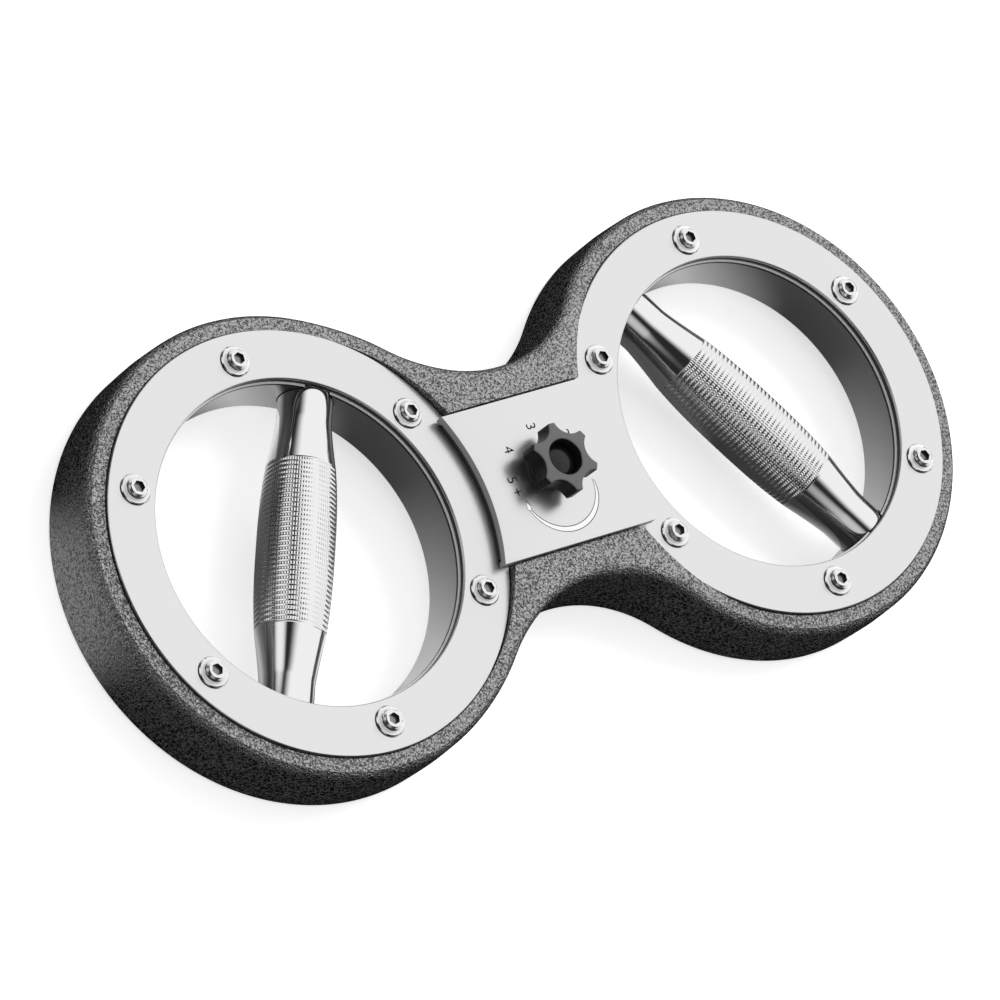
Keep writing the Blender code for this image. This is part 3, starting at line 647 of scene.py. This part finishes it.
satin_steel, tree, shader = new_finish("satin_steel", (0.80, 0.80, 0.80), 0.30, 1.0)
place = tree.nodes.new("ShaderNodeTexCoord")
cloud = add_node(tree, "ShaderNodeTexNoise", Scale=25.0, Detail=3.0)
tree.links.new(place.outputs["Object"], cloud.inputs["Vector"])
rough = add_node(tree, "ShaderNodeMapRange")
rough.inputs["To Min"].default_value = 0.26
rough.inputs["To Max"].default_value = 0.34
tree.links.new(cloud.outputs["Fac"], rough.inputs["Value"])
tree.links.new(rough.outputs["Result"], shader.inputs["Roughness"])
low, high = ring_low.z, ring_high.z
ring_profile = [
    (RING_INNER_R, low + RING_UNDERCUT),
    (RING_INNER_R + RING_UNDERCUT, low),
    (RING_OUTER_R - RING_EDGE, low),
    (RING_OUTER_R, low + RING_EDGE),
    (RING_OUTER_R, high - RING_EDGE),
    (RING_OUTER_R - RING_EDGE, high),
]
for step in range(7):
    a = step / 6 * math.pi / 2
    ring_profile.append(
        (RING_INNER_R + RING_ROUND * (1 - math.sin(a)), high - RING_ROUND * (1 - math.cos(a)))
    )
for side, x in (("left", -RING_X), ("right", RING_X)):
    ring = turned(f"{side}_ring_plate", ring_profile, LARGE_ROUND)
    for number in range(6):
        place = (*screw_place(number), high)
        cut_away(ring, cylinder(32, SCREW_HOLE_R, 2 * SCREW_HOLE_DEPTH, place))
        cut_away(ring, cylinder(SMALL_ROUND, SCREW_SEAT_R, 2 * SCREW_SEAT_DEPTH, place))
    settle(ring, x=x)
    smooth(ring)
    give(ring, satin_steel)
    ring.data.materials.append(painted_shade_black)
    # The ring's bore wall is painted black, as shade
    for face in ring.data.polygons:
        reach = math.hypot(face.center.x - x, face.center.y)
        if reach < RING_INNER_R + RING_UNDERCUT and abs(face.normal.z) < 0.2:
            face.material_index = 1
    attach(ring, f"{side}_rotor")
    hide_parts(f"{side}_front_ring")


# Ring screws
# Chromed flanged screws with a hexagonal socket, six in each ring. One is turned, its socket is
# pressed in, and it is copied to the twelve places.

SHANK_R = 0.003
SHANK_END = -0.012
HEAD_R = 0.0060
HEAD_EDGE = 0.0002
HEAD_RIM = 0.0003
HEAD_HEIGHT = 0.0033
HEAD_SUNK = 0.0006
FLANGE_R = 0.0057
FLANGE_RISE = 0.0006
CROWN_R = 0.0037
CROWN_EDGE = 0.0004
SOCKET_FLATS = 0.0042
SOCKET_R = SOCKET_FLATS / 2 / math.cos(math.pi / 6)
SOCKET_DEPTH = 0.0016
# A pale band up to this height is a painted highlight, and the socket's floor gets dark grey, as
# shade
HIGHLIGHT_BAND_TOP = 0.0014
socket_floor_shade = grained_finish("socket_floor_shade", (0.30, 0.30, 0.30), 0.30, 1.0, 1200.0, 0.00001, 0.05)
painted_highlight_band = grained_finish("painted_highlight_band", (0.95, 0.95, 0.95), 0.30, 0.15, 1200.0, 0.00001, 0.05)


def make_screw(name):
    """A flanged screw, its edge sunk in the ring's seat below Z = 0, with its shank.

    A hollow curve runs from the low flange up to the rounded crown. A pale band at its foot is a
    painted highlight, and the socket has painted shade: black walls and a dark grey floor.
    """
    profile = [(0.0, SHANK_END), (SHANK_R, SHANK_END), (SHANK_R, -HEAD_SUNK)]
    profile += [(HEAD_R - HEAD_EDGE, -HEAD_SUNK), (HEAD_R, HEAD_EDGE - HEAD_SUNK)]
    profile += [(HEAD_R, HEAD_RIM), (FLANGE_R, FLANGE_RISE)]
    curve_top = HEAD_HEIGHT - CROWN_EDGE
    for step in range(1, 11):
        a = math.radians(blend(step / 10, 12, 80))
        reach = FLANGE_R - (FLANGE_R - CROWN_R) * math.sin(a)
        profile.append((reach, curve_top - (curve_top - FLANGE_RISE) * math.cos(a)))
    profile += [(CROWN_R - 0.0001, HEAD_HEIGHT - 0.0002), (CROWN_R - CROWN_EDGE, HEAD_HEIGHT)]
    profile.append((0.0, HEAD_HEIGHT))
    made = turned(name, profile, SMALL_ROUND, closed=False)
    cut_away(made, cylinder(6, SOCKET_R, 2 * SOCKET_DEPTH, (0, 0, HEAD_HEIGHT)))
    smooth(made, 25)
    give(made, chrome)
    made.data.materials.append(painted_shade_black)
    made.data.materials.append(socket_floor_shade)
    made.data.materials.append(painted_highlight_band)
    # Painted shade: the socket's walls black and its floor dark grey. Painted highlight: the pale
    # band
    for face in made.data.polygons:
        reach = math.hypot(face.center.x, face.center.y)
        if reach < SOCKET_R and 0.0 < face.center.z < HEAD_HEIGHT - 0.0001:
            face.material_index = 1 if abs(face.normal.z) < 0.5 else 2
        elif reach < FLANGE_R and FLANGE_RISE < face.center.z < HIGHLIGHT_BAND_TOP:
            face.material_index = 3
    return made


# How far each screw is turned in, in degrees: the left ring's six, then the right ring's
SOCKET_TURNS = (17, 52, 4, 33, 41, 8, 25, 58, 12, 37, 49, 21)
first_screw = make_screw("ring_screw")
screw_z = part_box("right_front_screw_1")[1].z - HEAD_HEIGHT
for index, turn in enumerate(SOCKET_TURNS):
    side, x = (("left", -RING_X), ("right", RING_X))[index // 6]
    number = index % 6
    place = screw_place(number)
    screw = first_screw.copy()
    screw.data = first_screw.data.copy()
    screw.name = screw.data.name = f"{side}_button_screw_{number + 1}"
    bpy.context.collection.objects.link(screw)
    settle(screw, x=x + place[0], y=place[1], z=screw_z, turn=math.radians(turn))
    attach(screw, f"{side}_rotor")
    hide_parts(f"{side}_front_screw_{number + 1}")
bpy.data.objects.remove(first_screw)


# Brake plate
# A flat steel plate between the rings, with a hollow side along each of them that presses on their
# rims. Its face has a dial of plain numbers and a curved arrow, both engraved.

PLATE_ARC_R = 0.0803
PLATE_ARC_STEPS = 40
PLATE_HALF_ANGLE = math.asin(plate_high.y / PLATE_ARC_R)
CORNER_X = RING_X - PLATE_ARC_R * math.cos(PLATE_HALF_ANGLE)
plate_steel = satin_steel.copy()
plate_steel.name = "plate_steel"
plate = draw_line(
    "clamp_plate", [(CORNER_X, -PLATE_ARC_R * math.sin(PLATE_HALF_ANGLE), plate_low.z)]
)
bpy.ops.mesh.select_all(action="SELECT")
bpy.ops.mesh.spin(
    steps=PLATE_ARC_STEPS, angle=2 * PLATE_HALF_ANGLE, center=(RING_X, 0, 0), axis=(0, 0, 1)
)
bpy.ops.mesh.extrude_vertices_move(TRANSFORM_OT_translate={"value": (-2 * CORNER_X, 0, 0)})
bpy.ops.mesh.spin(
    steps=PLATE_ARC_STEPS, angle=2 * PLATE_HALF_ANGLE, center=(-RING_X, 0, 0), axis=(0, 0, 1)
)
bpy.ops.mesh.select_all(action="SELECT")
bpy.ops.mesh.edge_face_add()
bpy.ops.mesh.extrude_region_move(
    TRANSFORM_OT_translate={"value": (0, 0, plate_high.z - plate_low.z)}
)
bpy.ops.object.mode_set(mode="OBJECT")
clean(plate)
cut_away(plate, cylinder(48, BOLT_HOLE_R, 0.02, (0, 0, plate_high.z)))

LINING_INNER_R = 0.0763
LINING_OUTER_R = 0.0849
LINING_HALF_ANGLE = math.radians(21)
LINING_SEAT_LOW = plate_low.z - 0.001
LINING_SEAT_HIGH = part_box("right_brake_lining")[1].z + CLEARANCE
for x, facing in ((-RING_X, 0.0), (RING_X, math.pi)):
    start = Vector((math.cos(facing - LINING_HALF_ANGLE), math.sin(facing - LINING_HALF_ANGLE), 0))
    corners = [
        Vector((x, 0, z)) + start * r
        for r, z in (
            (LINING_INNER_R, LINING_SEAT_LOW),
            (LINING_OUTER_R, LINING_SEAT_LOW),
            (LINING_OUTER_R, LINING_SEAT_HIGH),
            (LINING_INNER_R, LINING_SEAT_HIGH),
        )
    ]
    seat = draw_line("lining_cutter", [tuple(c) for c in corners + corners[:1]])
    bpy.ops.mesh.select_all(action="SELECT")
    bpy.ops.mesh.remove_doubles(threshold=1e-6)
    bpy.ops.mesh.spin(
        steps=24, angle=-2 * LINING_HALF_ANGLE, center=(x, 0, 0), axis=(0, 0, 1)
    )
    bpy.ops.mesh.select_all(action="SELECT")
    bpy.ops.mesh.fill_holes(sides=4)
    bpy.ops.object.mode_set(mode="OBJECT")
    clean(seat)
    cut_away(plate, seat)
apply_modifier(
    plate, "BEVEL", width=0.0004, segments=2, limit_method="ANGLE", angle_limit=math.radians(50)
)

MARK_DEPTH = 0.00035
MARK_SIZE = 0.0062
MARK_TURN = -math.pi / 2
# Each mark with its angle from +X in degrees and its distance from the knob's axis
DIAL = (
    ("1", -3, 0.0175),
    ("2", 41, 0.0178),
    ("3", 91, 0.0178),
    ("4", 142, 0.0185),
    ("5 +", 189, 0.0190),
)
for text, degrees, radius in DIAL:
    a = math.radians(degrees)
    bpy.ops.object.select_all(action="DESELECT")
    bpy.ops.object.text_add()
    mark = bpy.context.object
    mark.data.body = text
    mark.data.size = MARK_SIZE
    mark.data.align_x = "CENTER"
    mark.data.align_y = "CENTER"
    mark.data.resolution_u = 3
    mark.data.extrude = MARK_DEPTH
    bpy.ops.object.convert(target="MESH")
    mark = bpy.context.object
    settle(mark, radius * math.cos(a), radius * math.sin(a), plate_high.z, MARK_TURN)
    clean(mark)
    cut_away(plate, mark)

ARROW_START = math.radians(-27)
ARROW_SWEEP = math.radians(123)
ARROW_STEPS = 48
ARROW_MARGIN = 0.0003
ARROW_R = 0.0190
ARROW_SWING = 0.0060
HEAD_SHARE = 0.08


def arrow_radius(share):
    """The arrow runs nearest to the knob at both ends and swings out between them."""
    return ARROW_R + ARROW_SWING * math.sin(math.pi * share) ** 0.8


def arrow_width(share):
    """A narrow start, a wide middle, a narrow neck, then the barbs of the head and its point."""
    neck = 1 - HEAD_SHARE
    if share < neck:
        return 0.0003 + 0.0016 * math.sin(math.pi * share / neck) ** 0.7
    return 0.0024 * (1 - (share - neck) / HEAD_SHARE) + 0.0002


def arrow_slab(name, margin, low, high):
    """The arrow's outline, wider by a margin all round, as a slab from one height to another."""
    outer_edge = []
    inner_edge = []
    for step in range(ARROW_STEPS + 1):
        share = step / ARROW_STEPS
        a = ARROW_START - ARROW_SWEEP * share
        reach = Vector((math.cos(a), math.sin(a), 0))
        half = arrow_width(share) / 2 + margin
        outer_edge.append(reach * (arrow_radius(share) + half))
        inner_edge.append(reach * (arrow_radius(share) - half))
    outline = [p + Vector((0, 0, low)) for p in outer_edge + inner_edge[::-1]]
    made = draw_line(name, [tuple(p) for p in outline])
    bpy.ops.mesh.select_all(action="SELECT")
    bpy.ops.mesh.edge_face_add()
    bpy.ops.mesh.extrude_region_move(TRANSFORM_OT_translate={"value": (0, 0, high - low)})
    bpy.ops.object.mode_set(mode="OBJECT")
    clean(made)
    return made


mark_floor = plate_high.z - MARK_DEPTH
cut_away(
    plate, arrow_slab("arrow_cutter", ARROW_MARGIN, mark_floor, plate_high.z + MARK_DEPTH)
)
smooth(plate)
give(plate, plate_steel)
# Black fills the marks; round the arrow's inlay and on the plate's broken edge it paints shade
mark_black_and_edge_shade = grained_finish("mark_black_and_edge_shade", (0.02, 0.02, 0.02), 0.6, 0.0, 1500.0, 0.00002, 0.05)
# A darker grey for the plate's cut sides, as painted shade
plate_side_shade = grained_finish("plate_side_shade", (0.36, 0.36, 0.36), 0.5, 0.0, 900.0, 0.00003, 0.05)
plate.data.materials.append(mark_black_and_edge_shade)
plate.data.materials.append(plate_side_shade)
# The marks' walls and floors are black. The thin black round the arrow's inlay and on the broken edge
# round the plate's cut sides is painted shade, and so is the darker grey of the cut sides
DIAL_INNER_R = 0.014
DIAL_OUTER_R = 0.0305
for face in plate.data.polygons:
    reach = math.hypot(face.center.x, face.center.y)
    sunk = plate_high.z - face.center.z
    if DIAL_INNER_R < reach < DIAL_OUTER_R and 1e-5 < sunk < MARK_DEPTH + 1e-5:
        face.material_index = 1
    elif reach > DIAL_OUTER_R and abs(face.normal.z) < 0.97:
        face.material_index = 2 if abs(face.normal.z) < 0.2 else 1
# The bright inlay lies just off the engraving's floor and just under the plate's face
inlay = arrow_slab("arrow_inlay", 0.0, mark_floor + 0.00002, plate_high.z - 0.00004)
smooth(inlay)
give(inlay, grained_finish("bright_cut", (0.97, 0.97, 0.97), 0.16, 1.0, 1500.0, 0.000005, 0.03))
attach(inlay, "brake_plate")
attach(plate, "brake_plate")
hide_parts("brake_plate")


# Knob, washer, insert and cap
# A six-lobed star knob of black plastic on a short foot, moulded round a brass insert. A glossy cap
# lies in the hollow of its top, and a black washer keeps the foot off the plate.

washer_black = grained_finish("washer_black", (0.04, 0.04, 0.04), 0.45, 0.0, 1200.0, 0.00002, 0.06)
give(nodes["knob_washer"], washer_black)
knob_low, knob_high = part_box("clamp_knob")
LOBES = 6
TIP_R = 0.0142
VALLEY_R = 0.0103
TIP_HALF_ANGLE = math.radians(6.5)
LOBE_HEIGHT = 0.0086
HUB_R = 0.0082
LOBE_LOW_Z = knob_high.z - LOBE_HEIGHT
HUB_OVERLAP = 0.001
RECESS_R = 0.0072
RECESS_FLOOR_Z = knob_high.z - 0.0050
RECESS_EDGE = 0.0003
CUTTER_RISE = 0.0002
INSERT_HOLE_R = 0.0058


def star_outline():
    """Round hollows between the blunt lobes, as points of the whole outline."""
    step = math.tau / LOBES
    reach = step / 2 - TIP_HALF_ANGLE
    centre = (TIP_R**2 - VALLEY_R**2) / (2 * (TIP_R * math.cos(reach) - VALLEY_R))
    hollow = centre - VALLEY_R
    swing = math.atan2(TIP_R * math.sin(reach), centre - TIP_R * math.cos(reach))
    points = []
    for lobe in range(LOBES):
        turn = Matrix.Rotation(lobe * step, 3, "Z")
        for i in range(13):
            b = blend(i / 12, -swing, swing)
            points.append(turn @ Vector((centre - hollow * math.cos(b), hollow * math.sin(b), 0)))
    return points


knob = draw_line("star_knob", [(p.x, p.y, LOBE_LOW_Z) for p in star_outline()])
bpy.ops.mesh.select_all(action="SELECT")
bpy.ops.mesh.edge_face_add()
bpy.ops.mesh.extrude_region_move(TRANSFORM_OT_translate={"value": (0, 0, LOBE_HEIGHT)})
bpy.ops.object.mode_set(mode="OBJECT")
clean(knob)
apply_modifier(
    knob, "BEVEL", width=0.0006, segments=3, limit_method="ANGLE", angle_limit=math.radians(40)
)
hub_high = LOBE_LOW_Z + HUB_OVERLAP
hub = cylinder(SMALL_ROUND, HUB_R, hub_high - knob_low.z, (0, 0, (hub_high + knob_low.z) / 2))
apply_modifier(knob, "BOOLEAN", operation="UNION", solver="EXACT", object=hub)
bpy.data.objects.remove(hub)
recess = turned(
    "recess_cutter",
    [
        (0, knob_low.z - 0.001),
        (INSERT_HOLE_R, knob_low.z - 0.001),
        (INSERT_HOLE_R, RECESS_FLOOR_Z),
        (RECESS_R, RECESS_FLOOR_Z),
        (RECESS_R, knob_high.z - RECESS_EDGE),
        (RECESS_R + RECESS_EDGE + CUTTER_RISE, knob_high.z + CUTTER_RISE),
        (0, knob_high.z + CUTTER_RISE),
    ],
    96,
    closed=False,
)
cut_away(knob, recess)
clean(knob)
smooth(knob, 35)
knob_plastic = grained_finish("knob_plastic", (0.03, 0.03, 0.031), 0.34, 0.0, 1800.0, 0.00003, 0.06)
shader = knob_plastic.node_tree.nodes["Principled BSDF"]
shader.inputs["IOR"].default_value = 1.7
shader.inputs["Specular IOR Level"].default_value = 1.0
give(knob, knob_plastic)
# The knob's sides are a darker, duller copy of its plastic: painted shade
knob_side_shade = grained_finish("knob_side_shade", (0.010, 0.010, 0.010), 0.42, 0.0, 1800.0, 0.00003, 0.06)
knob_side_shade.node_tree.nodes["Principled BSDF"].inputs["Specular IOR Level"].default_value = 0.25
knob.data.materials.append(knob_side_shade)
# Upright faces take the painted shade
for face in knob.data.polygons:
    if abs(face.normal.z) < 0.6:
        face.material_index = 1
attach(knob, "clamp_knob")
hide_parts("clamp_knob")

cap_low, cap_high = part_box("knob_cap")
CAP_R = 0.0069
CAP_EDGE_Z = cap_low.z + 0.0006
cap_profile = [(0.0, cap_low.z), (CAP_R, cap_low.z)]
for step in range(13):
    share = step / 12
    cap_profile.append((CAP_R * (1 - share), blend(1 - (1 - share) ** 2, CAP_EDGE_Z, cap_high.z)))
cap = turned("knob_dome", cap_profile, SMALL_ROUND, closed=False)
smooth(cap, 35)
gloss_black, _, shader = new_finish("gloss_black", (0.006, 0.006, 0.006), 0.2, 0.0)
shader.inputs["Specular IOR Level"].default_value = 0.4
give(cap, gloss_black)
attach(cap, "clamp_knob")
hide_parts("knob_cap")


# Floor, light and camera
# A pale floor in a white room, a large soft lamp high on the right, and the camera where the photo
# was taken. Metal mirrors three soft lights in the room, and dark and shaded cards on the floor.

FLOOR_Z = -0.0006
CARD_Z = -0.0003
bpy.ops.object.select_all(action="DESELECT")
bpy.ops.mesh.primitive_plane_add(size=8, location=(0, 0, FLOOR_Z))
floor = bpy.context.object
floor.name = "floor"
floor_white, tree, shader = new_finish("floor_white", (0.95, 0.95, 0.95), 0.9, 0.0)
path = tree.nodes.new("ShaderNodeLightPath")
lift = add_node(tree, "ShaderNodeMath", operation="MULTIPLY")
lift.inputs[1].default_value = 0.6
tree.links.new(path.outputs["Is Camera Ray"], lift.inputs[0])
shader.inputs["Emission Color"].default_value = (1, 1, 1, 1)
tree.links.new(lift.outputs[0], shader.inputs["Emission Strength"])
give(floor, floor_white)

world = bpy.data.worlds.new("room")
bpy.context.scene.world = world
world.use_nodes = True
tree = world.node_tree
tree.nodes.clear()
path = tree.nodes.new("ShaderNodeLightPath")
seen = add_node(tree, "ShaderNodeBackground", Strength=1.0)
seen.inputs["Color"].default_value = (1, 1, 1, 1)
felt = add_node(tree, "ShaderNodeBackground", Strength=0.55)
felt.inputs["Color"].default_value = (1, 1, 1, 1)
mirrored = add_node(tree, "ShaderNodeBackground", Strength=1.0)
mirrored.inputs["Color"].default_value = (1, 1, 1, 1)
toward = tree.nodes.new("ShaderNodeTexCoord")
# The three soft lights: direction, cosines of the angles where each starts and is full, strength
MIRRORED_LIGHTS = (
    ((0.814, 0.326, 0.479), 0.26, 0.62, 1.0),
    ((-0.66, 0.55, 0.51), 0.92, 1.0, 0.95),
    ((-0.50, -0.56, 0.66), 0.90, 1.0, 0.6),
)
brightest = None
for direction, start, full, strength in MIRRORED_LIGHTS:
    facing = add_node(tree, "ShaderNodeVectorMath", operation="DOT_PRODUCT")
    facing.inputs[1].default_value = direction
    tree.links.new(toward.outputs["Generated"], facing.inputs[0])
    glow = add_node(tree, "ShaderNodeMapRange", interpolation_type="SMOOTHSTEP")
    glow.inputs["From Min"].default_value = start
    glow.inputs["From Max"].default_value = full
    glow.inputs["To Min"].default_value = 0.02
    glow.inputs["To Max"].default_value = strength
    tree.links.new(facing.outputs["Value"], glow.inputs["Value"])
    if brightest is None:
        brightest = glow.outputs["Result"]
    else:
        pick = add_node(tree, "ShaderNodeMath", operation="MAXIMUM")
        tree.links.new(brightest, pick.inputs[0])
        tree.links.new(glow.outputs["Result"], pick.inputs[1])
        brightest = pick.outputs[0]
tree.links.new(brightest, mirrored.inputs["Strength"])
glossy_mix = tree.nodes.new("ShaderNodeMixShader")
tree.links.new(path.outputs["Is Glossy Ray"], glossy_mix.inputs["Fac"])
tree.links.new(felt.outputs[0], glossy_mix.inputs[1])
tree.links.new(mirrored.outputs[0], glossy_mix.inputs[2])
# The camera sees a white room, also through glass
clear_view = add_node(tree, "ShaderNodeMath", operation="MAXIMUM")
tree.links.new(path.outputs["Is Camera Ray"], clear_view.inputs[0])
tree.links.new(path.outputs["Is Transmission Ray"], clear_view.inputs[1])
mix = tree.nodes.new("ShaderNodeMixShader")
tree.links.new(clear_view.outputs[0], mix.inputs["Fac"])
tree.links.new(glossy_mix.outputs[0], mix.inputs[1])
tree.links.new(seen.outputs[0], mix.inputs[2])
output = tree.nodes.new("ShaderNodeOutputWorld")
tree.links.new(mix.outputs[0], output.inputs["Surface"])


def only_for_gloss(card):
    """A card that metal mirrors, and that neither the camera nor soft light sees."""
    card.visible_camera = False
    card.visible_diffuse = False
    card.visible_shadow = False
    card.visible_transmission = False


def card_finish(name):
    """A finish that only glows, by as much as its nodes say."""
    made, tree, shader = new_finish(name, (0.0, 0.0, 0.0), 1.0)
    shader.inputs["Specular IOR Level"].default_value = 0.0
    shader.inputs["Emission Color"].default_value = (1, 1, 1, 1)
    return made, tree, shader


bpy.ops.object.select_all(action="DESELECT")
bpy.ops.mesh.primitive_plane_add(size=3, location=(0, 0, CARD_Z))
card = bpy.context.object
card.name = "black_card"
# The card is near black, and glows to the left of the left ring, where the body's wall mirrors it
card_black, tree, shader = card_finish("card_black")
place = tree.nodes.new("ShaderNodeTexCoord")
from_ring = add_node(tree, "ShaderNodeVectorMath", operation="ADD")
from_ring.inputs[1].default_value = (RING_X, 0.0, 0.0)
tree.links.new(place.outputs["Object"], from_ring.inputs[0])
outward = add_node(tree, "ShaderNodeVectorMath", operation="NORMALIZE")
tree.links.new(from_ring.outputs["Vector"], outward.inputs[0])
leftward = add_node(tree, "ShaderNodeVectorMath", operation="DOT_PRODUCT")
leftward.inputs[1].default_value = (-0.989, 0.148, 0.0)
tree.links.new(outward.outputs["Vector"], leftward.inputs[0])
glow = add_node(tree, "ShaderNodeMapRange", interpolation_type="SMOOTHSTEP")
glow.inputs["From Min"].default_value = 0.89
glow.inputs["From Max"].default_value = 0.998
glow.inputs["To Min"].default_value = 0.005
glow.inputs["To Max"].default_value = 0.42
tree.links.new(leftward.outputs["Value"], glow.inputs["Value"])
tree.links.new(glow.outputs["Result"], shader.inputs["Emission Strength"])
give(card, card_black)
for x in (-RING_X, RING_X):
    cut_away(card, cylinder(SMALL_ROUND, DRUM_OUTER_R, 0.01, (x, 0, 0)))
only_for_gloss(card)


def shaded_card(name, shades):
    """The finish of a round card whose brightness goes round with the angle from +X."""
    made, tree, shader = card_finish(name)
    place = tree.nodes.new("ShaderNodeTexCoord")
    middle = add_node(tree, "ShaderNodeMapping", Location=(-0.5, -0.5, 0.0))
    tree.links.new(place.outputs["UV"], middle.inputs["Vector"])
    angle = add_node(tree, "ShaderNodeTexGradient", gradient_type="RADIAL")
    tree.links.new(middle.outputs["Vector"], angle.inputs["Vector"])
    ramp = add_node(tree, "ShaderNodeValToRGB")
    for number, (degrees, value) in enumerate(shades):
        position = (degrees + 180) / 360
        if number == 0:
            stop = ramp.color_ramp.elements[0]
        elif number == len(shades) - 1:
            stop = ramp.color_ramp.elements[-1]
        else:
            stop = ramp.color_ramp.elements.new(position)
        stop.position = position
        stop.color = (value, value, value, 1)
    tree.links.new(angle.outputs["Fac"], ramp.inputs["Fac"])
    tree.links.new(ramp.outputs["Color"], shader.inputs["Emission Color"])
    shader.inputs["Emission Strength"].default_value = 1.0
    return made


# Brightness of the discs inside the rings by degrees from +X. Both share the front and rear shades
FRONT_SHADES = ((-88, 0.05), (-72, 0.25), (-55, 0.90), (-35, 0.85), (-10, 0.45), (15, 0.10))
REAR_SHADES = (
    (35, 0.08), (55, 0.50), (75, 0.85), (88, 0.45), (100, 0.12), (150, 0.08), (180, 0.10)
)
LEFT_SHADES = ((-180, 0.10), (-162, 0.20), (-145, 0.50), (-118, 0.25))
RIGHT_SHADES = ((-180, 0.10), (-150, 0.04))
for side, x, shades in (("left", -RING_X, LEFT_SHADES), ("right", RING_X, RIGHT_SHADES)):
    bpy.ops.object.select_all(action="DESELECT")
    bpy.ops.mesh.primitive_circle_add(
        vertices=64, radius=DRUM_OUTER_R, fill_type="NGON", location=(x, 0, CARD_Z), calc_uvs=True
    )
    disc = bpy.context.object
    disc.name = f"{side}_shaded_card"
    give(disc, shaded_card(f"{side}_card_shaded", shades + FRONT_SHADES + REAR_SHADES))
    only_for_gloss(disc)


bpy.ops.object.light_add(type="AREA", location=(1.3, 0.45, 1.4))
key = bpy.context.object
key.name = "key_softbox"
key.data.shape = "RECTANGLE"
key.data.size = 1.2
key.data.size_y = 1.2
key.data.energy = 22
key.visible_glossy = False
key.rotation_euler = (-key.location).to_track_quat("-Z", "Y").to_euler()

# The solved camera: its turn, and its place in screw-circle radii from the rings' face between them
CAMERA_PLACE = (-20.8793, -5.9007, 27.2828)
CAMERA_RIGHT = (0.77250, -0.39408, 0.49795)
CAMERA_DOWN = (-0.22647, -0.90355, -0.36374)
camera_data = bpy.data.cameras.new("camera")
camera = bpy.data.objects.new("camera", camera_data)
bpy.context.collection.objects.link(camera)
camera_data.sensor_width = 36
camera_data.lens = 243.25
camera_data.clip_start = 0.1
camera_data.clip_end = 30
turn = Matrix(
    (CAMERA_RIGHT, [-v for v in CAMERA_DOWN], [-v for v in Vector(CAMERA_RIGHT).cross(CAMERA_DOWN)])
).transposed()
camera.matrix_world = (
    Matrix.Translation(Vector(CAMERA_PLACE) * SCREW_CIRCLE_R + Vector((0, 0, FACE_Z)))
    @ turn.to_4x4()
)
scene = bpy.context.scene
scene.camera = camera
scene.view_settings.view_transform = "Standard"
